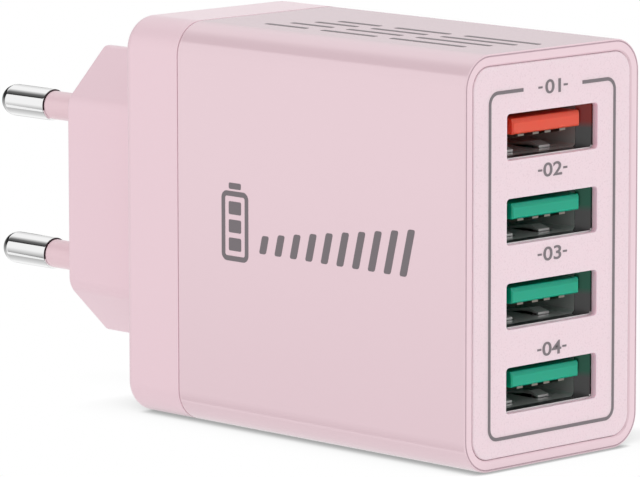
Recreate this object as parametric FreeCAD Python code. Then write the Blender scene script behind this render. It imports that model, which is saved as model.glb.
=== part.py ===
import FreeCAD, Part
import os
from math import cos, pi, sin, sqrt

from FreeCAD import Vector

os.makedirs("parts", exist_ok=True)

# Wall charger with a two-pin plug at the rear and a column of USB sockets in front.
# Millimetres. The sockets face +X, the pins point to -X, the body stands on its narrow base, +Z up.

# Moulded body
body_width = 29.2
body_height = 48.5
body_corner_r = 4.0
housing_length = 48.0
wall = 1.9
rim_width = 1.4
front_edge_r = 0.3
rim_chamfer = 0.2
seam_chamfer = 0.2
round_steps = 3

# Front panel
panel_thickness = 1.8
panel_gap = 0.06
panel_chamfer = 0.2
tab_length = 3.0
tab_width = 6.0
tab_thickness = 1.0
tab_clearance = 0.15
tab_spacing = 24.0

# Rear cap, its lip inside the housing and the plug nose
cap_depth = 9.7
cap_edge_r = 1.6
cap_rear_wall = 2.0
lip_depth = 2.5
lip_thickness = 1.0
lip_clearance = 0.15
nose_length = 18.8
nose_half_thickness = 6.85
nose_half_height = 18.0
nose_tip_half = 0.6
nose_side_r = 2.5
nose_tip_r = 0.9
nose_end_chamfer = 0.4
nose_wall = 1.7
nose_tip_wall = 3.2
nose_end_wall = 2.0

# Plug pins and the leads behind them
pin_spacing = 19.0
pin_r = 2.0
pin_bare_length = 9.0
pin_tip_steps = 5
sleeve_exposed = 10.0
sleeve_r = 1.8
pin_core_r = 1.3
pin_tail_length = 4.0
pin_fit = 0.03
boss_half = 3.4
boss_length = 9.0
lead_thickness = 0.4
lead_width = 2.4
lead_from_rear = 2.4

# Socket column
port_count = 4
port_top_margin = 9.89
port_bottom_margin = 9.09
opening_side_margin = 0.2
opening_top_margin = 0.14
opening_r = 0.45
opening_lip = 0.8
mouth_clearance = 0.1
pocket_clearance = 0.15

# One socket: stamped shell, insulator with its tongue, contact strips
shell_inner_width = 12.5
shell_inner_height = 5.12
shell_inner_r = 0.6
shell_sheet = 0.3
shell_length = 14.0
flare_depth = 1.4
flare_spread = 1.15
block_length = 2.0
block_fit = 0.05
tongue_width = 11.3
tongue_thickness = 1.84
tongue_rise = 0.97
tongue_recess = 0.1
tongue_chamfer = 0.2
tongue_slope_depth = 0.3
tongue_slope_height = 0.55
finger_width = 1.8
finger_from_mouth = 3.4
finger_length = 6.0
finger_crest = 1.5
finger_offset = 3.1
finger_bow = 0.7
finger_slit = 0.3
shell_leg_height = 1.2
contact_width = 1.0
contact_thickness = 0.25
contact_places = (-3.5, -1.0, 1.0, 3.5)
contact_setback = 0.6
contact_crest = 1.2
contact_spring = 4.0
contact_bow = 0.45
contact_tip_drop = 0.15
contact_slot_fit = 0.05
tail_beyond_board = 1.0
board_hole_fit = 0.15

# Boards and the rails that carry them
board_edge_clearance = 0.3
usb_board_thickness = 1.2
power_board_thickness = 1.6
solder_side_clearance = 3.1
power_tail_clearance = 0.5
board_stop_clearance = 0.1
rail_height = 1.8
rail_thickness = 1.2
rail_clearance = 0.1
tenon_height = 3.0
tenon_beyond_board = 0.8

# Transformer, standing on its bobbin flanges
core_width = 15.0
core_height = 15.0
core_thickness = 5.0
core_leg = 2.2
core_centre_leg = 4.4
core_rise = 6.8
bobbin_wall = 0.7
bobbin_fit = 0.1
flange_thickness = 1.0
flange_rise = 12.4
winding_inset = 0.15
winding_fit = 0.05
winding_corner_r = 1.2

# Small components: length, width, height of each package, then the cans and the fuse
bulk_cap_r = 4.0
bulk_cap_height = 14.0
output_cap_r = 3.0
output_cap_height = 10.0
choke_size = (7.0, 7.0, 4.0)
choke_corner_r = 2.0
optocoupler_size = (4.6, 6.4, 3.2)
bridge_size = (4.8, 3.9, 1.6)
chip_size = (4.9, 3.9, 1.5)
package_bevel = 0.3
package_stand = 0.15
package_lead_thickness = 0.25
package_lead_reach = 0.9
package_lead_inset = 0.4
fuse_r = 1.7
fuse_length = 8.0
disc_r = 3.5
disc_thickness = 3.0

# Layout on the power board: distance from its front or rear edge, and from its bottom, top or middle
transformer_from_front = 10.6
transformer_from_bottom = 11.0
bulk_cap_from_rear = 8.0
bulk_cap_from_edge = 8.0
output_cap_from_front = 5.0
output_cap_pitch = 8.0
output_cap_from_top = 6.6
optocoupler_from_front = 5.0
y_capacitor_from_front = 12.5
middle_row_rise = 4.0
fuse_from_rear = 6.4
fuse_drop = 4.0
bridge_from_rear = 8.0
bridge_rise = 3.0
control_drop = 4.0
fast_chip_from_edge = 3.2

# Places along X, counted from the middle of the whole length
pin_length = pin_bare_length + sleeve_exposed
overall_length = housing_length + cap_depth + nose_length + pin_length
x_front = overall_length / 2
x_seam = x_front - housing_length
x_cap_rear = x_seam - cap_depth
x_nose_end = x_cap_rear - nose_length
x_sleeve_end = x_nose_end - sleeve_exposed
x_pin_tip = x_sleeve_end - pin_bare_length
x_panel_back = x_front - panel_thickness
x_mouth = x_front - opening_lip - mouth_clearance
x_flare = x_mouth - flare_depth
x_shell_back = x_mouth - shell_length
x_block = x_shell_back + block_length
x_usb_board_back = x_shell_back - usb_board_thickness
x_lip_front = x_seam + lip_depth
x_board_step = x_lip_front + board_stop_clearance
x_board_rear = x_cap_rear + cap_rear_wall + power_tail_clearance
x_boss_end = x_nose_end + boss_length
x_pin_back = x_boss_end + pin_tail_length

# Places across
z_middle = body_height / 2
pin_heights = (z_middle + pin_spacing / 2, z_middle - pin_spacing / 2)
shell_width = shell_inner_width + 2 * shell_sheet
shell_height = shell_inner_height + 2 * shell_sheet
mouth_width = shell_width + 2 * flare_spread
mouth_inner_width = shell_inner_width + 2 * flare_spread
opening_width = mouth_inner_width + 2 * opening_side_margin
opening_height = shell_inner_height + 2 * opening_top_margin
cap_inset = wall + lip_clearance + lip_thickness
power_board_y = body_width / 2 - wall - solder_side_clearance - power_board_thickness / 2
board_low = wall + board_edge_clearance
board_high = body_height - board_low
board_middle = (board_low + board_high) / 2
usb_board_half = body_width / 2 - board_low
board_face_y = power_board_y - power_board_thickness / 2
port_pitch = (body_height - port_top_margin - port_bottom_margin) / (port_count - 1)
port_heights = [body_height - port_top_margin - i * port_pitch for i in range(port_count)]
tenon_heights = [(a + b) / 2 for a, b in zip(port_heights, port_heights[1:])]

# How far a cutting solid runs past what it cuts
overrun = 1.0


def box(x0, x1, y0, y1, z0, z1):
    low = Vector(min(x0, x1), min(y0, y1), min(z0, z1))
    return Part.makeBox(abs(x1 - x0), abs(y1 - y0), abs(z1 - z0), low)


def polygon_face(points):
    return Part.Face(Part.makePolygon(points + [points[0]]))


def prism_xz(points, y0, y1):
    face = polygon_face([Vector(x, y0, z) for x, z in points])
    return face.extrude(Vector(0, y1 - y0, 0))


def prism_xy(points, z0, z1):
    face = polygon_face([Vector(x, y, z0) for x, y in points])
    return face.extrude(Vector(0, 0, z1 - z0))


def prism_yz(points, x0, x1):
    face = polygon_face([Vector(x0, y, z) for y, z in points])
    return face.extrude(Vector(x1 - x0, 0, 0))


def eased_ring(width, height, radius):
    """Corner points of a rectangle, each corner cut at 45 degrees where a bend of that radius would run."""
    a = width / 2
    b = height / 2
    c = (2 - sqrt(2)) * radius
    corner = [(a, b - c), (a - c, b)]
    ring = corner + [(-u, w) for u, w in reversed(corner)]
    return ring + [(-u, -w) for u, w in corner] + [(u, -w) for u, w in reversed(corner)]


def eased_bar(x0, x1, width, height, radius, z_centre):
    return prism_yz([(y, z_centre + h) for y, h in eased_ring(width, height, radius)], x0, x1)


def rounded_wire(x, width, height, radius, z_centre):
    """Rounded rectangle across the X axis."""
    a = width / 2 - radius
    b = height / 2 - radius
    d = radius / sqrt(2)
    ends = []
    for sy, sz in ((1, 1), (-1, 1), (-1, -1), (1, -1)):
        side = Vector(x, sy * (a + radius), z_centre + sz * b)
        middle = Vector(x, sy * (a + d), z_centre + sz * (b + d))
        top = Vector(x, sy * a, z_centre + sz * (b + radius))
        ends.append((side, middle, top) if sy * sz > 0 else (top, middle, side))
    edges = []
    for i, (start, middle, end) in enumerate(ends):
        edges.append(Part.Arc(start, middle, end).toShape())
        edges.append(Part.makeLine(end, ends[(i + 1) % 4][0]))
    return Part.Wire(edges)


def rounded_bar(x0, x1, width, height, radius, z_centre):
    face = Part.Face(rounded_wire(x0, width, height, radius, z_centre))
    return face.extrude(Vector(x1 - x0, 0, 0))


def body_wire(x, inset):
    """The body's section, drawn in by an inset."""
    radius = max(body_corner_r - inset, front_edge_r)
    return rounded_wire(x, body_width - 2 * inset, body_height - 2 * inset, radius, z_middle)


def body_bar(x0, x1, inset):
    return Part.Face(body_wire(x0, inset)).extrude(Vector(x1 - x0, 0, 0))


def rounded_end(x_face, radius, outward):
    """Last stretch of the body, drawn in along a quarter round up to its end face."""
    wires = []
    for step in range(round_steps + 1):
        turn = step / round_steps * pi / 2
        x = x_face - outward * radius * (1 - sin(turn))
        wires.append(body_wire(x, radius * (1 - cos(turn))))
    return Part.makeLoft(wires, True, True)


def edges_at_x(shape, x):
    found = []
    for edge in shape.Edges:
        limits = edge.BoundBox
        if abs(limits.XMin - x) < 1e-4 and abs(limits.XMax - x) < 1e-4:
            found.append(edge)
    return found


def edges_along_x(shape):
    return [e for e in shape.Edges if e.BoundBox.YLength < 1e-4 and e.BoundBox.ZLength < 1e-4]


def turned(profile, base, axis):
    """Turned piece: a profile of (along, radius) pairs swept round an axis through base."""
    side = Vector(0, 0, 1)
    points = [base + axis * along + side * radius for along, radius in profile]
    return polygon_face(points).revolve(base, axis, 360)


# Main housing: sleeve with a stepped front that takes the panel, and rails for the power board
def make_housing():
    outer = body_bar(x_seam, x_front - front_edge_r, 0)
    outer = outer.makeChamfer(seam_chamfer, edges_at_x(outer, x_seam))
    outer = outer.fuse(rounded_end(x_front, front_edge_r, 1))
    recess = body_bar(x_panel_back, x_front + overrun, rim_width)
    cavity = body_bar(x_seam - overrun, x_front + overrun, wall)
    ease_start = body_wire(x_front - rim_chamfer, rim_width)
    ease_end = body_wire(x_front, rim_width - rim_chamfer)
    ease = Part.makeLoft([ease_start, ease_end], True, True)
    housing = outer.cut(recess.fuse(cavity).fuse(ease))
    offset = power_board_thickness / 2 + rail_clearance
    for low, high in ((wall / 2, wall + rail_height),
                      (body_height - wall - rail_height, body_height - wall / 2)):
        for y0 in (power_board_y - offset - rail_thickness, power_board_y + offset):
            housing = housing.fuse(box(x_board_step, x_usb_board_back, y0, y0 + rail_thickness, low, high))
    return housing.removeSplitter()


# Front panel: flush plate, snap tabs behind it, one opening per socket with a pocket for the socket's mouth
def make_panel():
    plate = body_bar(x_panel_back, x_front, rim_width + panel_gap)
    plate = plate.makeChamfer(panel_chamfer, edges_at_x(plate, x_front))
    reach = body_width / 2 - wall - tab_clearance
    for side in (-1, 1):
        for z in (z_middle - tab_spacing / 2, z_middle + tab_spacing / 2):
            tab = box(x_panel_back - tab_length, x_panel_back, side * (reach - tab_thickness), side * reach,
                      z - tab_width / 2, z + tab_width / 2)
            plate = plate.fuse(tab)
    half = mouth_width / 2 + pocket_clearance
    rise = shell_height / 2 + pocket_clearance
    for z in port_heights:
        opening = rounded_bar(x_panel_back - overrun, x_front + overrun, opening_width, opening_height,
                              opening_r, z)
        pocket = box(x_panel_back - overrun, x_front - opening_lip, -half, half, z - rise, z + rise)
        plate = plate.cut(opening).cut(pocket)
    return plate.removeSplitter()


def nose_bar(x0, x1, half_thickness, half_height, tip_half):
    """Six-sided plug nose with 45 degree facets running to narrow ends."""
    flat_half = half_height - (half_thickness - tip_half)
    half = [(half_thickness, flat_half), (tip_half, half_height)]
    ring = half + [(-y, z) for y, z in reversed(half)]
    ring += [(-y, -z) for y, z in half] + [(y, -z) for y, z in reversed(half)]
    return prism_yz([(y, z_middle + z) for y, z in ring], x0, x1)


# Rear cover: cap, plug nose, lip that enters the housing, and towers that hold the pins
def make_rear_cover():
    cap = body_bar(x_cap_rear + cap_edge_r, x_seam, 0).fuse(rounded_end(x_cap_rear, cap_edge_r, -1))
    x_root = x_cap_rear + cap_rear_wall / 2
    nose = nose_bar(x_nose_end, x_root, nose_half_thickness, nose_half_height, nose_tip_half)
    middle = (nose_half_thickness + nose_tip_half) / 2
    nose = nose.makeFillet(nose_side_r, [e for e in edges_along_x(nose) if abs(e.BoundBox.YMin) > middle])
    ends = [e for e in edges_along_x(nose) if abs(abs(e.BoundBox.YMin) - nose_tip_half) < 1e-3]
    nose = nose.makeFillet(nose_tip_r, ends)
    nose = nose.makeChamfer(nose_end_chamfer, edges_at_x(nose, x_nose_end))
    cover = cap.fuse(nose).fuse(body_bar(x_seam - lip_depth, x_lip_front, wall + lip_clearance))
    cover = cover.cut(body_bar(x_cap_rear + cap_rear_wall, x_lip_front + overrun, cap_inset))
    facet_reach = nose_half_height + nose_tip_half - sqrt(2) * nose_wall
    hollow_height = nose_half_height - nose_tip_wall
    cover = cover.cut(nose_bar(x_nose_end + nose_end_wall, x_cap_rear + cap_rear_wall + overrun,
                               nose_half_thickness - nose_wall, hollow_height, facet_reach - hollow_height))
    along = Vector(1, 0, 0)
    for z in pin_heights:
        cover = cover.fuse(box(x_nose_end + nose_end_wall / 2, x_boss_end, -boss_half, boss_half,
                               z - boss_half, z + boss_half))
        bore = Part.makeCylinder(sleeve_r + pin_fit, boss_length + 2 * overrun,
                                 Vector(x_nose_end - overrun, 0, z), along)
        cover = cover.cut(bore)
    return cover.removeSplitter()


# Plug pin: rounded bare end, then a thinner core that runs inside the sleeve and through the tower
def make_pin(z):
    profile = []
    for step in range(pin_tip_steps + 1):
        turn = step / pin_tip_steps * pi / 2
        profile.append((pin_r * (1 - cos(turn)), pin_r * sin(turn)))
    core_end = x_pin_back - x_pin_tip
    profile += [(pin_bare_length, pin_r), (pin_bare_length, pin_core_r)]
    profile += [(core_end, pin_core_r), (core_end, 0)]
    return turned(profile, Vector(x_pin_tip, 0, z), Vector(1, 0, 0))


def make_pin_sleeve(z):
    length = sleeve_exposed + boss_length
    base = Vector(x_sleeve_end, 0, z)
    along = Vector(1, 0, 0)
    outer = Part.makeCylinder(sleeve_r, length, base, along)
    return outer.cut(Part.makeCylinder(pin_core_r + pin_fit, length, base, along))


# Flat lead: from the end of the pin's core, one bend, then square onto the board's component face
def make_pin_lead(z):
    half = lead_thickness / 2
    x_end = x_board_rear + lead_from_rear
    outline = [(x_pin_back, -half), (x_end + half, -half), (x_end + half, board_face_y),
               (x_end - half, board_face_y), (x_end - half, half), (x_pin_back, half)]
    return prism_xy(outline, z - lead_width / 2, z + lead_width / 2)


def mouth_wedge(width, height, z):
    """Flared mouth seen in plan, the full height of the shell."""
    half = width / 2
    wide = half + flare_spread
    outline = [(x_flare, -half), (x_mouth, -wide), (x_mouth, wide), (x_flare, half)]
    return prism_xy(outline, z - height / 2, z + height / 2)


# Socket shell: drawn tube with a flared mouth, spring fingers in its floor and legs into the socket board
def make_shell(z):
    outer = eased_bar(x_shell_back, x_flare, shell_width, shell_height, shell_inner_r + shell_sheet, z)
    inner = eased_bar(x_shell_back, x_flare, shell_inner_width, shell_inner_height, shell_inner_r, z)
    outer = outer.fuse(mouth_wedge(shell_width, shell_height, z))
    shell = outer.cut(inner.fuse(mouth_wedge(shell_inner_width, shell_inner_height, z)))
    x_tip = x_mouth - finger_from_mouth
    x_crest = x_tip - finger_crest
    x_root = x_tip - finger_length
    floor = z - shell_inner_height / 2
    under = floor - shell_sheet
    for side in (-1, 1):
        y = side * finger_offset
        reach = finger_width / 2 + finger_slit
        slit = box(x_root, x_tip + finger_slit, y - reach, y + reach, under - overrun, floor + block_fit)
        spring = prism_xz([(x_root - shell_sheet, under), (x_root, under),
                           (x_crest, under + finger_bow), (x_tip, floor), (x_tip, floor + shell_sheet),
                           (x_crest, floor + finger_bow), (x_root, floor), (x_root - shell_sheet, floor)],
                          y - finger_width / 2, y + finger_width / 2)
        leg = box(x_usb_board_back - tail_beyond_board, x_shell_back + overrun, side * shell_inner_width / 2,
                  side * shell_width / 2, z - shell_leg_height / 2, z + shell_leg_height / 2)
        shell = shell.cut(slit).fuse(spring).fuse(leg)
    return shell.removeSplitter()


def contact_top(z):
    return z + tongue_rise - tongue_thickness / 2


# Socket insulator: block that closes the shell, tongue with eased edges and a front slope, contact slots
def make_insulator(z):
    block_width = shell_inner_width - 2 * block_fit
    block_height = shell_inner_height - 2 * block_fit
    block = eased_bar(x_shell_back, x_block, block_width, block_height, shell_inner_r, z)
    x_tip = x_mouth - tongue_recess
    x_bevel = x_tip - tongue_chamfer
    x_slope = x_tip - tongue_slope_depth
    x_root = x_block - block_length / 2
    top = z + tongue_rise + tongue_thickness / 2
    low = contact_top(z)
    half = tongue_width / 2
    side_view = prism_xz([(x_root, low), (x_bevel, low), (x_tip, low + tongue_chamfer),
                          (x_tip, top - tongue_slope_height), (x_slope, top), (x_root, top)], -half, half)
    plan_view = prism_xy([(x_root, -half), (x_bevel, -half), (x_tip, tongue_chamfer - half),
                          (x_tip, half - tongue_chamfer), (x_bevel, half), (x_root, half)], low, top)
    piece = block.fuse(side_view.common(plan_view))
    for y in contact_places:
        reach = contact_width / 2 + contact_slot_fit
        piece = piece.cut(box(x_shell_back - overrun, x_block + overrun, y - reach, y + reach,
                              low - contact_thickness - contact_slot_fit, low))
    return piece.removeSplitter()


# Contact strips: bowed springs under the tongue, straight tails through the block and the socket board
def make_contacts(z):
    top = contact_top(z)
    x_tip = x_mouth - tongue_recess - tongue_chamfer - contact_setback
    x_tail = x_usb_board_back - tail_beyond_board
    upper = [(x_tail, top), (x_tip - contact_spring, top), (x_tip - contact_crest, top - contact_bow),
             (x_tip, top - contact_tip_drop)]
    lower = [(x, height - contact_thickness) for x, height in reversed(upper)]
    strips = [prism_xz(upper + lower, y - contact_width / 2, y + contact_width / 2) for y in contact_places]
    return Part.makeCompound(strips)


# Socket board: stands across the housing against the rail ends
def make_usb_board():
    board = box(x_usb_board_back, x_shell_back, -usb_board_half, usb_board_half, board_low, board_high)
    x0 = x_usb_board_back - overrun
    x1 = x_shell_back + overrun
    fit = board_hole_fit
    for z in port_heights:
        top = contact_top(z)
        for y in contact_places:
            reach = contact_width / 2 + fit
            board = board.cut(box(x0, x1, y - reach, y + reach, top - contact_thickness - fit, top + fit))
        reach = shell_leg_height / 2 + fit
        for side in (-1, 1):
            inner = shell_inner_width / 2 - fit
            outer = shell_width / 2 + fit
            board = board.cut(box(x0, x1, side * inner, side * outer, z - reach, z + reach))
    half = power_board_thickness / 2 + fit
    reach = tenon_height / 2 + fit
    for z in tenon_heights:
        board = board.cut(box(x0, x1, power_board_y - half, power_board_y + half, z - reach, z + reach))
    corners = [e for e in edges_along_x(board) if abs(e.BoundBox.YMin) > usb_board_half - 1e-3]
    return board.makeChamfer(body_corner_r - wall, corners)


# Power board: rides in the rails, steps in at the rear to pass the cap's lip, tenoned into the socket board
def make_power_board():
    y0 = power_board_y - power_board_thickness / 2
    y1 = power_board_y + power_board_thickness / 2
    tail_low = cap_inset + power_tail_clearance
    board = box(x_board_step, x_usb_board_back, y0, y1, board_low, board_high)
    board = board.fuse(box(x_board_rear, x_board_step, y0, y1, tail_low, body_height - tail_low))
    for z in tenon_heights:
        board = board.fuse(box(x_usb_board_back, x_shell_back + tenon_beyond_board, y0, y1,
                               z - tenon_height / 2, z + tenon_height / 2))
    return board.removeSplitter()


def on_front(distance):
    return x_usb_board_back - distance


def on_rear(distance):
    return x_board_rear + distance


def midway(a, b):
    return (a + b) / 2


# Transformer: closed figure-of-eight core, bobbin whose flanges stand on the board, taped winding
def make_transformer():
    x = on_front(transformer_from_front)
    z = board_low + transformer_from_bottom
    y = board_face_y - core_rise
    half_leg = core_centre_leg / 2
    window = core_width / 2 - core_leg
    reach = core_height / 2 - core_leg
    y0 = y - core_thickness / 2
    y1 = y + core_thickness / 2
    core = box(x - core_width / 2, x + core_width / 2, y0, y1, z - core_height / 2, z + core_height / 2)
    for side in (-1, 1):
        core = core.cut(box(x + side * half_leg, x + side * window, y0 - overrun, y1 + overrun,
                            z - reach, z + reach))
    span = reach - bobbin_fit
    hole_x = half_leg + bobbin_fit
    hole_y = core_thickness / 2 + bobbin_fit
    tube_x = hole_x + bobbin_wall
    tube_y = hole_y + bobbin_wall
    flange_x = window - bobbin_fit
    bobbin = box(x - tube_x, x + tube_x, y - tube_y, y + tube_y, z - span, z + span)
    for low, high in ((z - span, z - span + flange_thickness), (z + span - flange_thickness, z + span)):
        flange = box(x - flange_x, x + flange_x, board_face_y - flange_rise, board_face_y, low, high)
        bobbin = bobbin.fuse(flange)
    bobbin = bobbin.cut(box(x - hole_x, x + hole_x, y - hole_y, y + hole_y,
                            z - span - overrun, z + span + overrun))
    coil_half = span - flange_thickness - winding_fit
    inner_x = tube_x + winding_fit
    inner_y = tube_y + winding_fit
    outer_x = flange_x - winding_inset
    outer_y = inner_y + outer_x - inner_x
    coil = box(x - outer_x, x + outer_x, y - outer_y, y + outer_y, z - coil_half, z + coil_half)
    coil = coil.makeFillet(winding_corner_r, [e for e in coil.Edges if e.BoundBox.ZLength > coil_half])
    coil = coil.cut(box(x - inner_x, x + inner_x, y - inner_y, y + inner_y, z - span, z + span))
    return core, bobbin.removeSplitter(), coil


# Can capacitor standing on the board
def make_can(x, z, radius, height):
    return Part.makeCylinder(radius, height, Vector(x, board_face_y, z), Vector(0, -1, 0))


# Shielded choke: eight-sided block on the board
def make_choke(x, z):
    length, width, height = choke_size
    ring = [(x + u, z + w) for u, w in eased_ring(length, width, choke_corner_r)]
    return prism_xz(ring, board_face_y - height, board_face_y)


def make_fuse(x, z):
    base = Vector(x - fuse_length / 2, board_face_y - fuse_r, z)
    return Part.makeCylinder(fuse_r, fuse_length, base, Vector(1, 0, 0))


# Disc capacitor standing on its edge
def make_disc(x, z):
    base = Vector(x - disc_thickness / 2, board_face_y - disc_r, z)
    return Part.makeCylinder(disc_r, disc_thickness, base, Vector(1, 0, 0))


# Moulded package on a board whose face is y = 0, body towards -Y, one bent lead frame along each long side
def make_package(size):
    length, width, height = size
    half = width / 2
    low = -package_stand
    top = low - height
    outline = [(low, half), (top + package_bevel, half), (top, half - package_bevel),
               (top, package_bevel - half), (top + package_bevel, -half), (low, -half)]
    body = polygon_face([Vector(-length / 2, y, z) for y, z in outline]).extrude(Vector(length, 0, 0))
    run = length / 2 - package_lead_inset
    thick = package_lead_thickness
    shoulder = low - height / 2
    for side in (-1, 1):
        out = side * (half + package_lead_reach)
        body = body.fuse(box(-run, run, shoulder, shoulder + thick, side * half, out))
        body = body.fuse(box(-run, run, shoulder, 0, out - side * thick, out))
    return body.removeSplitter()


def on_power_board(shape, x, z):
    return shape.translated(Vector(x, board_face_y, z))


def on_usb_board(shape, y, z):
    return shape.rotated(Vector(0, 0, 0), Vector(0, 0, 1), -90).translated(Vector(x_usb_board_back, y, z))


nodes = {
    "main_housing": make_housing(),
    "front_panel": make_panel(),
    "rear_cover": make_rear_cover(),
    "usb_board": make_usb_board(),
    "power_board": make_power_board(),
}
for name, height in zip(("upper", "lower"), pin_heights):
    nodes[name + "_pin"] = make_pin(height)
    nodes[name + "_pin_sleeve"] = make_pin_sleeve(height)
    nodes[name + "_pin_lead"] = make_pin_lead(height)
for number, height in enumerate(port_heights, 1):
    nodes["usb_shell_%d" % number] = make_shell(height)
    nodes["usb_insulator_%d" % number] = make_insulator(height)
    nodes["usb_contacts_%d" % number] = make_contacts(height)

core, bobbin, coil = make_transformer()
nodes["transformer_core"] = core
nodes["transformer_bobbin"] = bobbin
nodes["transformer_winding"] = coil

bulk_x = on_rear(bulk_cap_from_rear)
nodes["bulk_capacitor_1"] = make_can(bulk_x, board_high - bulk_cap_from_edge, bulk_cap_r, bulk_cap_height)
nodes["bulk_capacitor_2"] = make_can(bulk_x, board_low + bulk_cap_from_edge, bulk_cap_r, bulk_cap_height)
output_z = board_high - output_cap_from_top
for number in (1, 2):
    output_x = on_front(output_cap_from_front + (number - 1) * output_cap_pitch)
    nodes["output_capacitor_%d" % number] = make_can(output_x, output_z, output_cap_r, output_cap_height)

middle_row = board_middle + middle_row_rise
disc_x = on_front(y_capacitor_from_front)
bridge_x = on_rear(bridge_from_rear)
fuse_x = on_rear(fuse_from_rear)
choke_x = midway(disc_x - disc_thickness / 2, bridge_x + bridge_size[0] / 2)
control_x = midway(on_front(transformer_from_front) - core_width / 2, fuse_x + fuse_length / 2)
nodes["choke"] = make_choke(choke_x, middle_row)
nodes["y_capacitor"] = make_disc(disc_x, middle_row)
nodes["optocoupler"] = on_power_board(make_package(optocoupler_size), on_front(optocoupler_from_front),
                                      middle_row)
nodes["fuse_resistor"] = make_fuse(fuse_x, board_middle - fuse_drop)
nodes["bridge_rectifier"] = on_power_board(make_package(bridge_size), bridge_x, board_middle + bridge_rise)
nodes["control_chip"] = on_power_board(make_package(chip_size), control_x, board_middle - control_drop)
nodes["fast_charge_chip"] = on_usb_board(make_package(chip_size), fast_chip_from_edge - usb_board_half,
                                         board_middle)

for name, shape in nodes.items():
    shape.exportStep("parts/" + name + ".step")
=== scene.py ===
"""Looks of a pale pink mains charger: body, socket panel, plug and print, in a white studio."""

import logging
import math
from collections.abc import Iterable, Mapping, Sequence
from dataclasses import dataclass
from enum import Enum

import bmesh
import bpy
from bmesh.types import BMEdge, BMesh, BMFace, BMVert
from mathutils import Matrix, Vector


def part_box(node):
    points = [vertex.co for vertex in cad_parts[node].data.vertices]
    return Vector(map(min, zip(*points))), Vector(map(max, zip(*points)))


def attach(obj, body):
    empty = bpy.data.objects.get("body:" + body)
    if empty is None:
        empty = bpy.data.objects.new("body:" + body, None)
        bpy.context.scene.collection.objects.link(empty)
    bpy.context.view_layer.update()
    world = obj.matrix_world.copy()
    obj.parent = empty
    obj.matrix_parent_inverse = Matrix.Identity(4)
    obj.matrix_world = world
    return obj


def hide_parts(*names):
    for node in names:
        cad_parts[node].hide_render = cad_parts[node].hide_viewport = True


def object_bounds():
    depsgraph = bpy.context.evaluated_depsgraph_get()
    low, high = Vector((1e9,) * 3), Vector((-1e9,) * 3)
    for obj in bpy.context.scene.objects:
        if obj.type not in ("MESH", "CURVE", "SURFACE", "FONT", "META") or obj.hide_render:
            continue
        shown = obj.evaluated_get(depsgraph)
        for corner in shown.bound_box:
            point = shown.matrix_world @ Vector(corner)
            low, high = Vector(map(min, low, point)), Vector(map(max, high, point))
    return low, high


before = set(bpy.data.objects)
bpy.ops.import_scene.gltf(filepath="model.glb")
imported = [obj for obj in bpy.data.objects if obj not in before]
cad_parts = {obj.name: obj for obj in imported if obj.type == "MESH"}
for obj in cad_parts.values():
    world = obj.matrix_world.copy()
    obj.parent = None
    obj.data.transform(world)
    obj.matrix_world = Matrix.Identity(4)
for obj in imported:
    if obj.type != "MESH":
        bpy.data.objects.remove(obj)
cad_low, cad_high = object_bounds()

MM = 0.001
BODY = "root"
SIDES = (-1, 1)
X_AXIS = Vector((1, 0, 0))
Y_AXIS = Vector((0, 1, 0))
Z_AXIS = Vector((0, 0, 1))
ALONG_X = Matrix.Rotation(math.pi / 2, 4, "Y")
# Lengths below which places count as the same, for finding edges and for cutting.
TOUCH = 0.002 * MM
CUT = TOUCH / 10
# Print stands this far out of the faces that carry it, which are set back by as much.
INK = 0.02 * MM
BUMP_DEPTH = 0.02 * MM
STRAIGHT = 0.9999
SQUARE = 0.99
SHARP_ANGLE = math.radians(32)
NORMAL_WEIGHT = 90
PRINT_CORNER_STEPS = 8
LOG = logging.getLogger("charger")

Triple = tuple[float, float, float]
Colour = Triple
Pair = tuple[float, float]
Pieces = list[bpy.types.Object]
Tree = bpy.types.NodeTree
Socket = bpy.types.NodeSocket
Feed = Socket | Sequence[float] | float
Feeds = Mapping[str | int, Feed]


class Slot(Enum):
    """Material slots of the record that the new pieces belong to."""

    BODY = "body_plastic"
    PANEL = "panel_plastic"
    SLEEVE = "sleeve_plastic"
    PIN = "pin_metal"
    ORANGE = "orange_plastic"
    GREEN = "green_plastic"


class Kind(Enum):
    """Kinds of sockets that the shader groups have."""

    VECTOR = "NodeSocketVector"
    COLOUR = "NodeSocketColor"
    VALUE = "NodeSocketFloat"


class Face(Enum):
    """Printed faces: the way a line reads on them, the way up, and the way out of the body."""

    FRONT = (Y_AXIS, Z_AXIS, X_AXIS)
    SIDE = (X_AXIS, Z_AXIS, -Y_AXIS)
    TOP = (X_AXIS, Y_AXIS, Z_AXIS)


def laid(axes: Sequence[Vector], place: Vector) -> Matrix:
    """Matrix that turns X, Y and Z to three other axes and moves the origin to a place."""
    return Matrix.Translation(place) @ Matrix(axes).transposed().to_4x4()


def from_srgb(*steps: int) -> Colour:
    """Linear colour of an 8-bit screen colour.

    Args:
        steps: Red, green and blue from 0 to 255.

    Returns:
        The colour as Blender's shaders take it, without alpha.
    """

    def decode(share: float) -> float:
        """One channel, decoded."""
        return share / 12.92 if share <= 0.04045 else ((share + 0.055) / 1.055) ** 2.4

    return tuple(decode(step / 255) for step in steps)


def rgba(colour: Colour) -> tuple[float, float, float, float]:
    """The colour with full alpha."""
    return (*colour, 1.0)


def feed(node: bpy.types.Node, feeds: Feeds) -> None:
    """Feeds a node's inputs.

    Args:
        node: The node.
        feeds: For inputs by name or number, the socket to link or the constant to set.
    """
    for label, source in feeds.items():
        if isinstance(source, Socket):
            node.id_data.links.new(source, node.inputs[label])
        else:
            node.inputs[label].default_value = source


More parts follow.
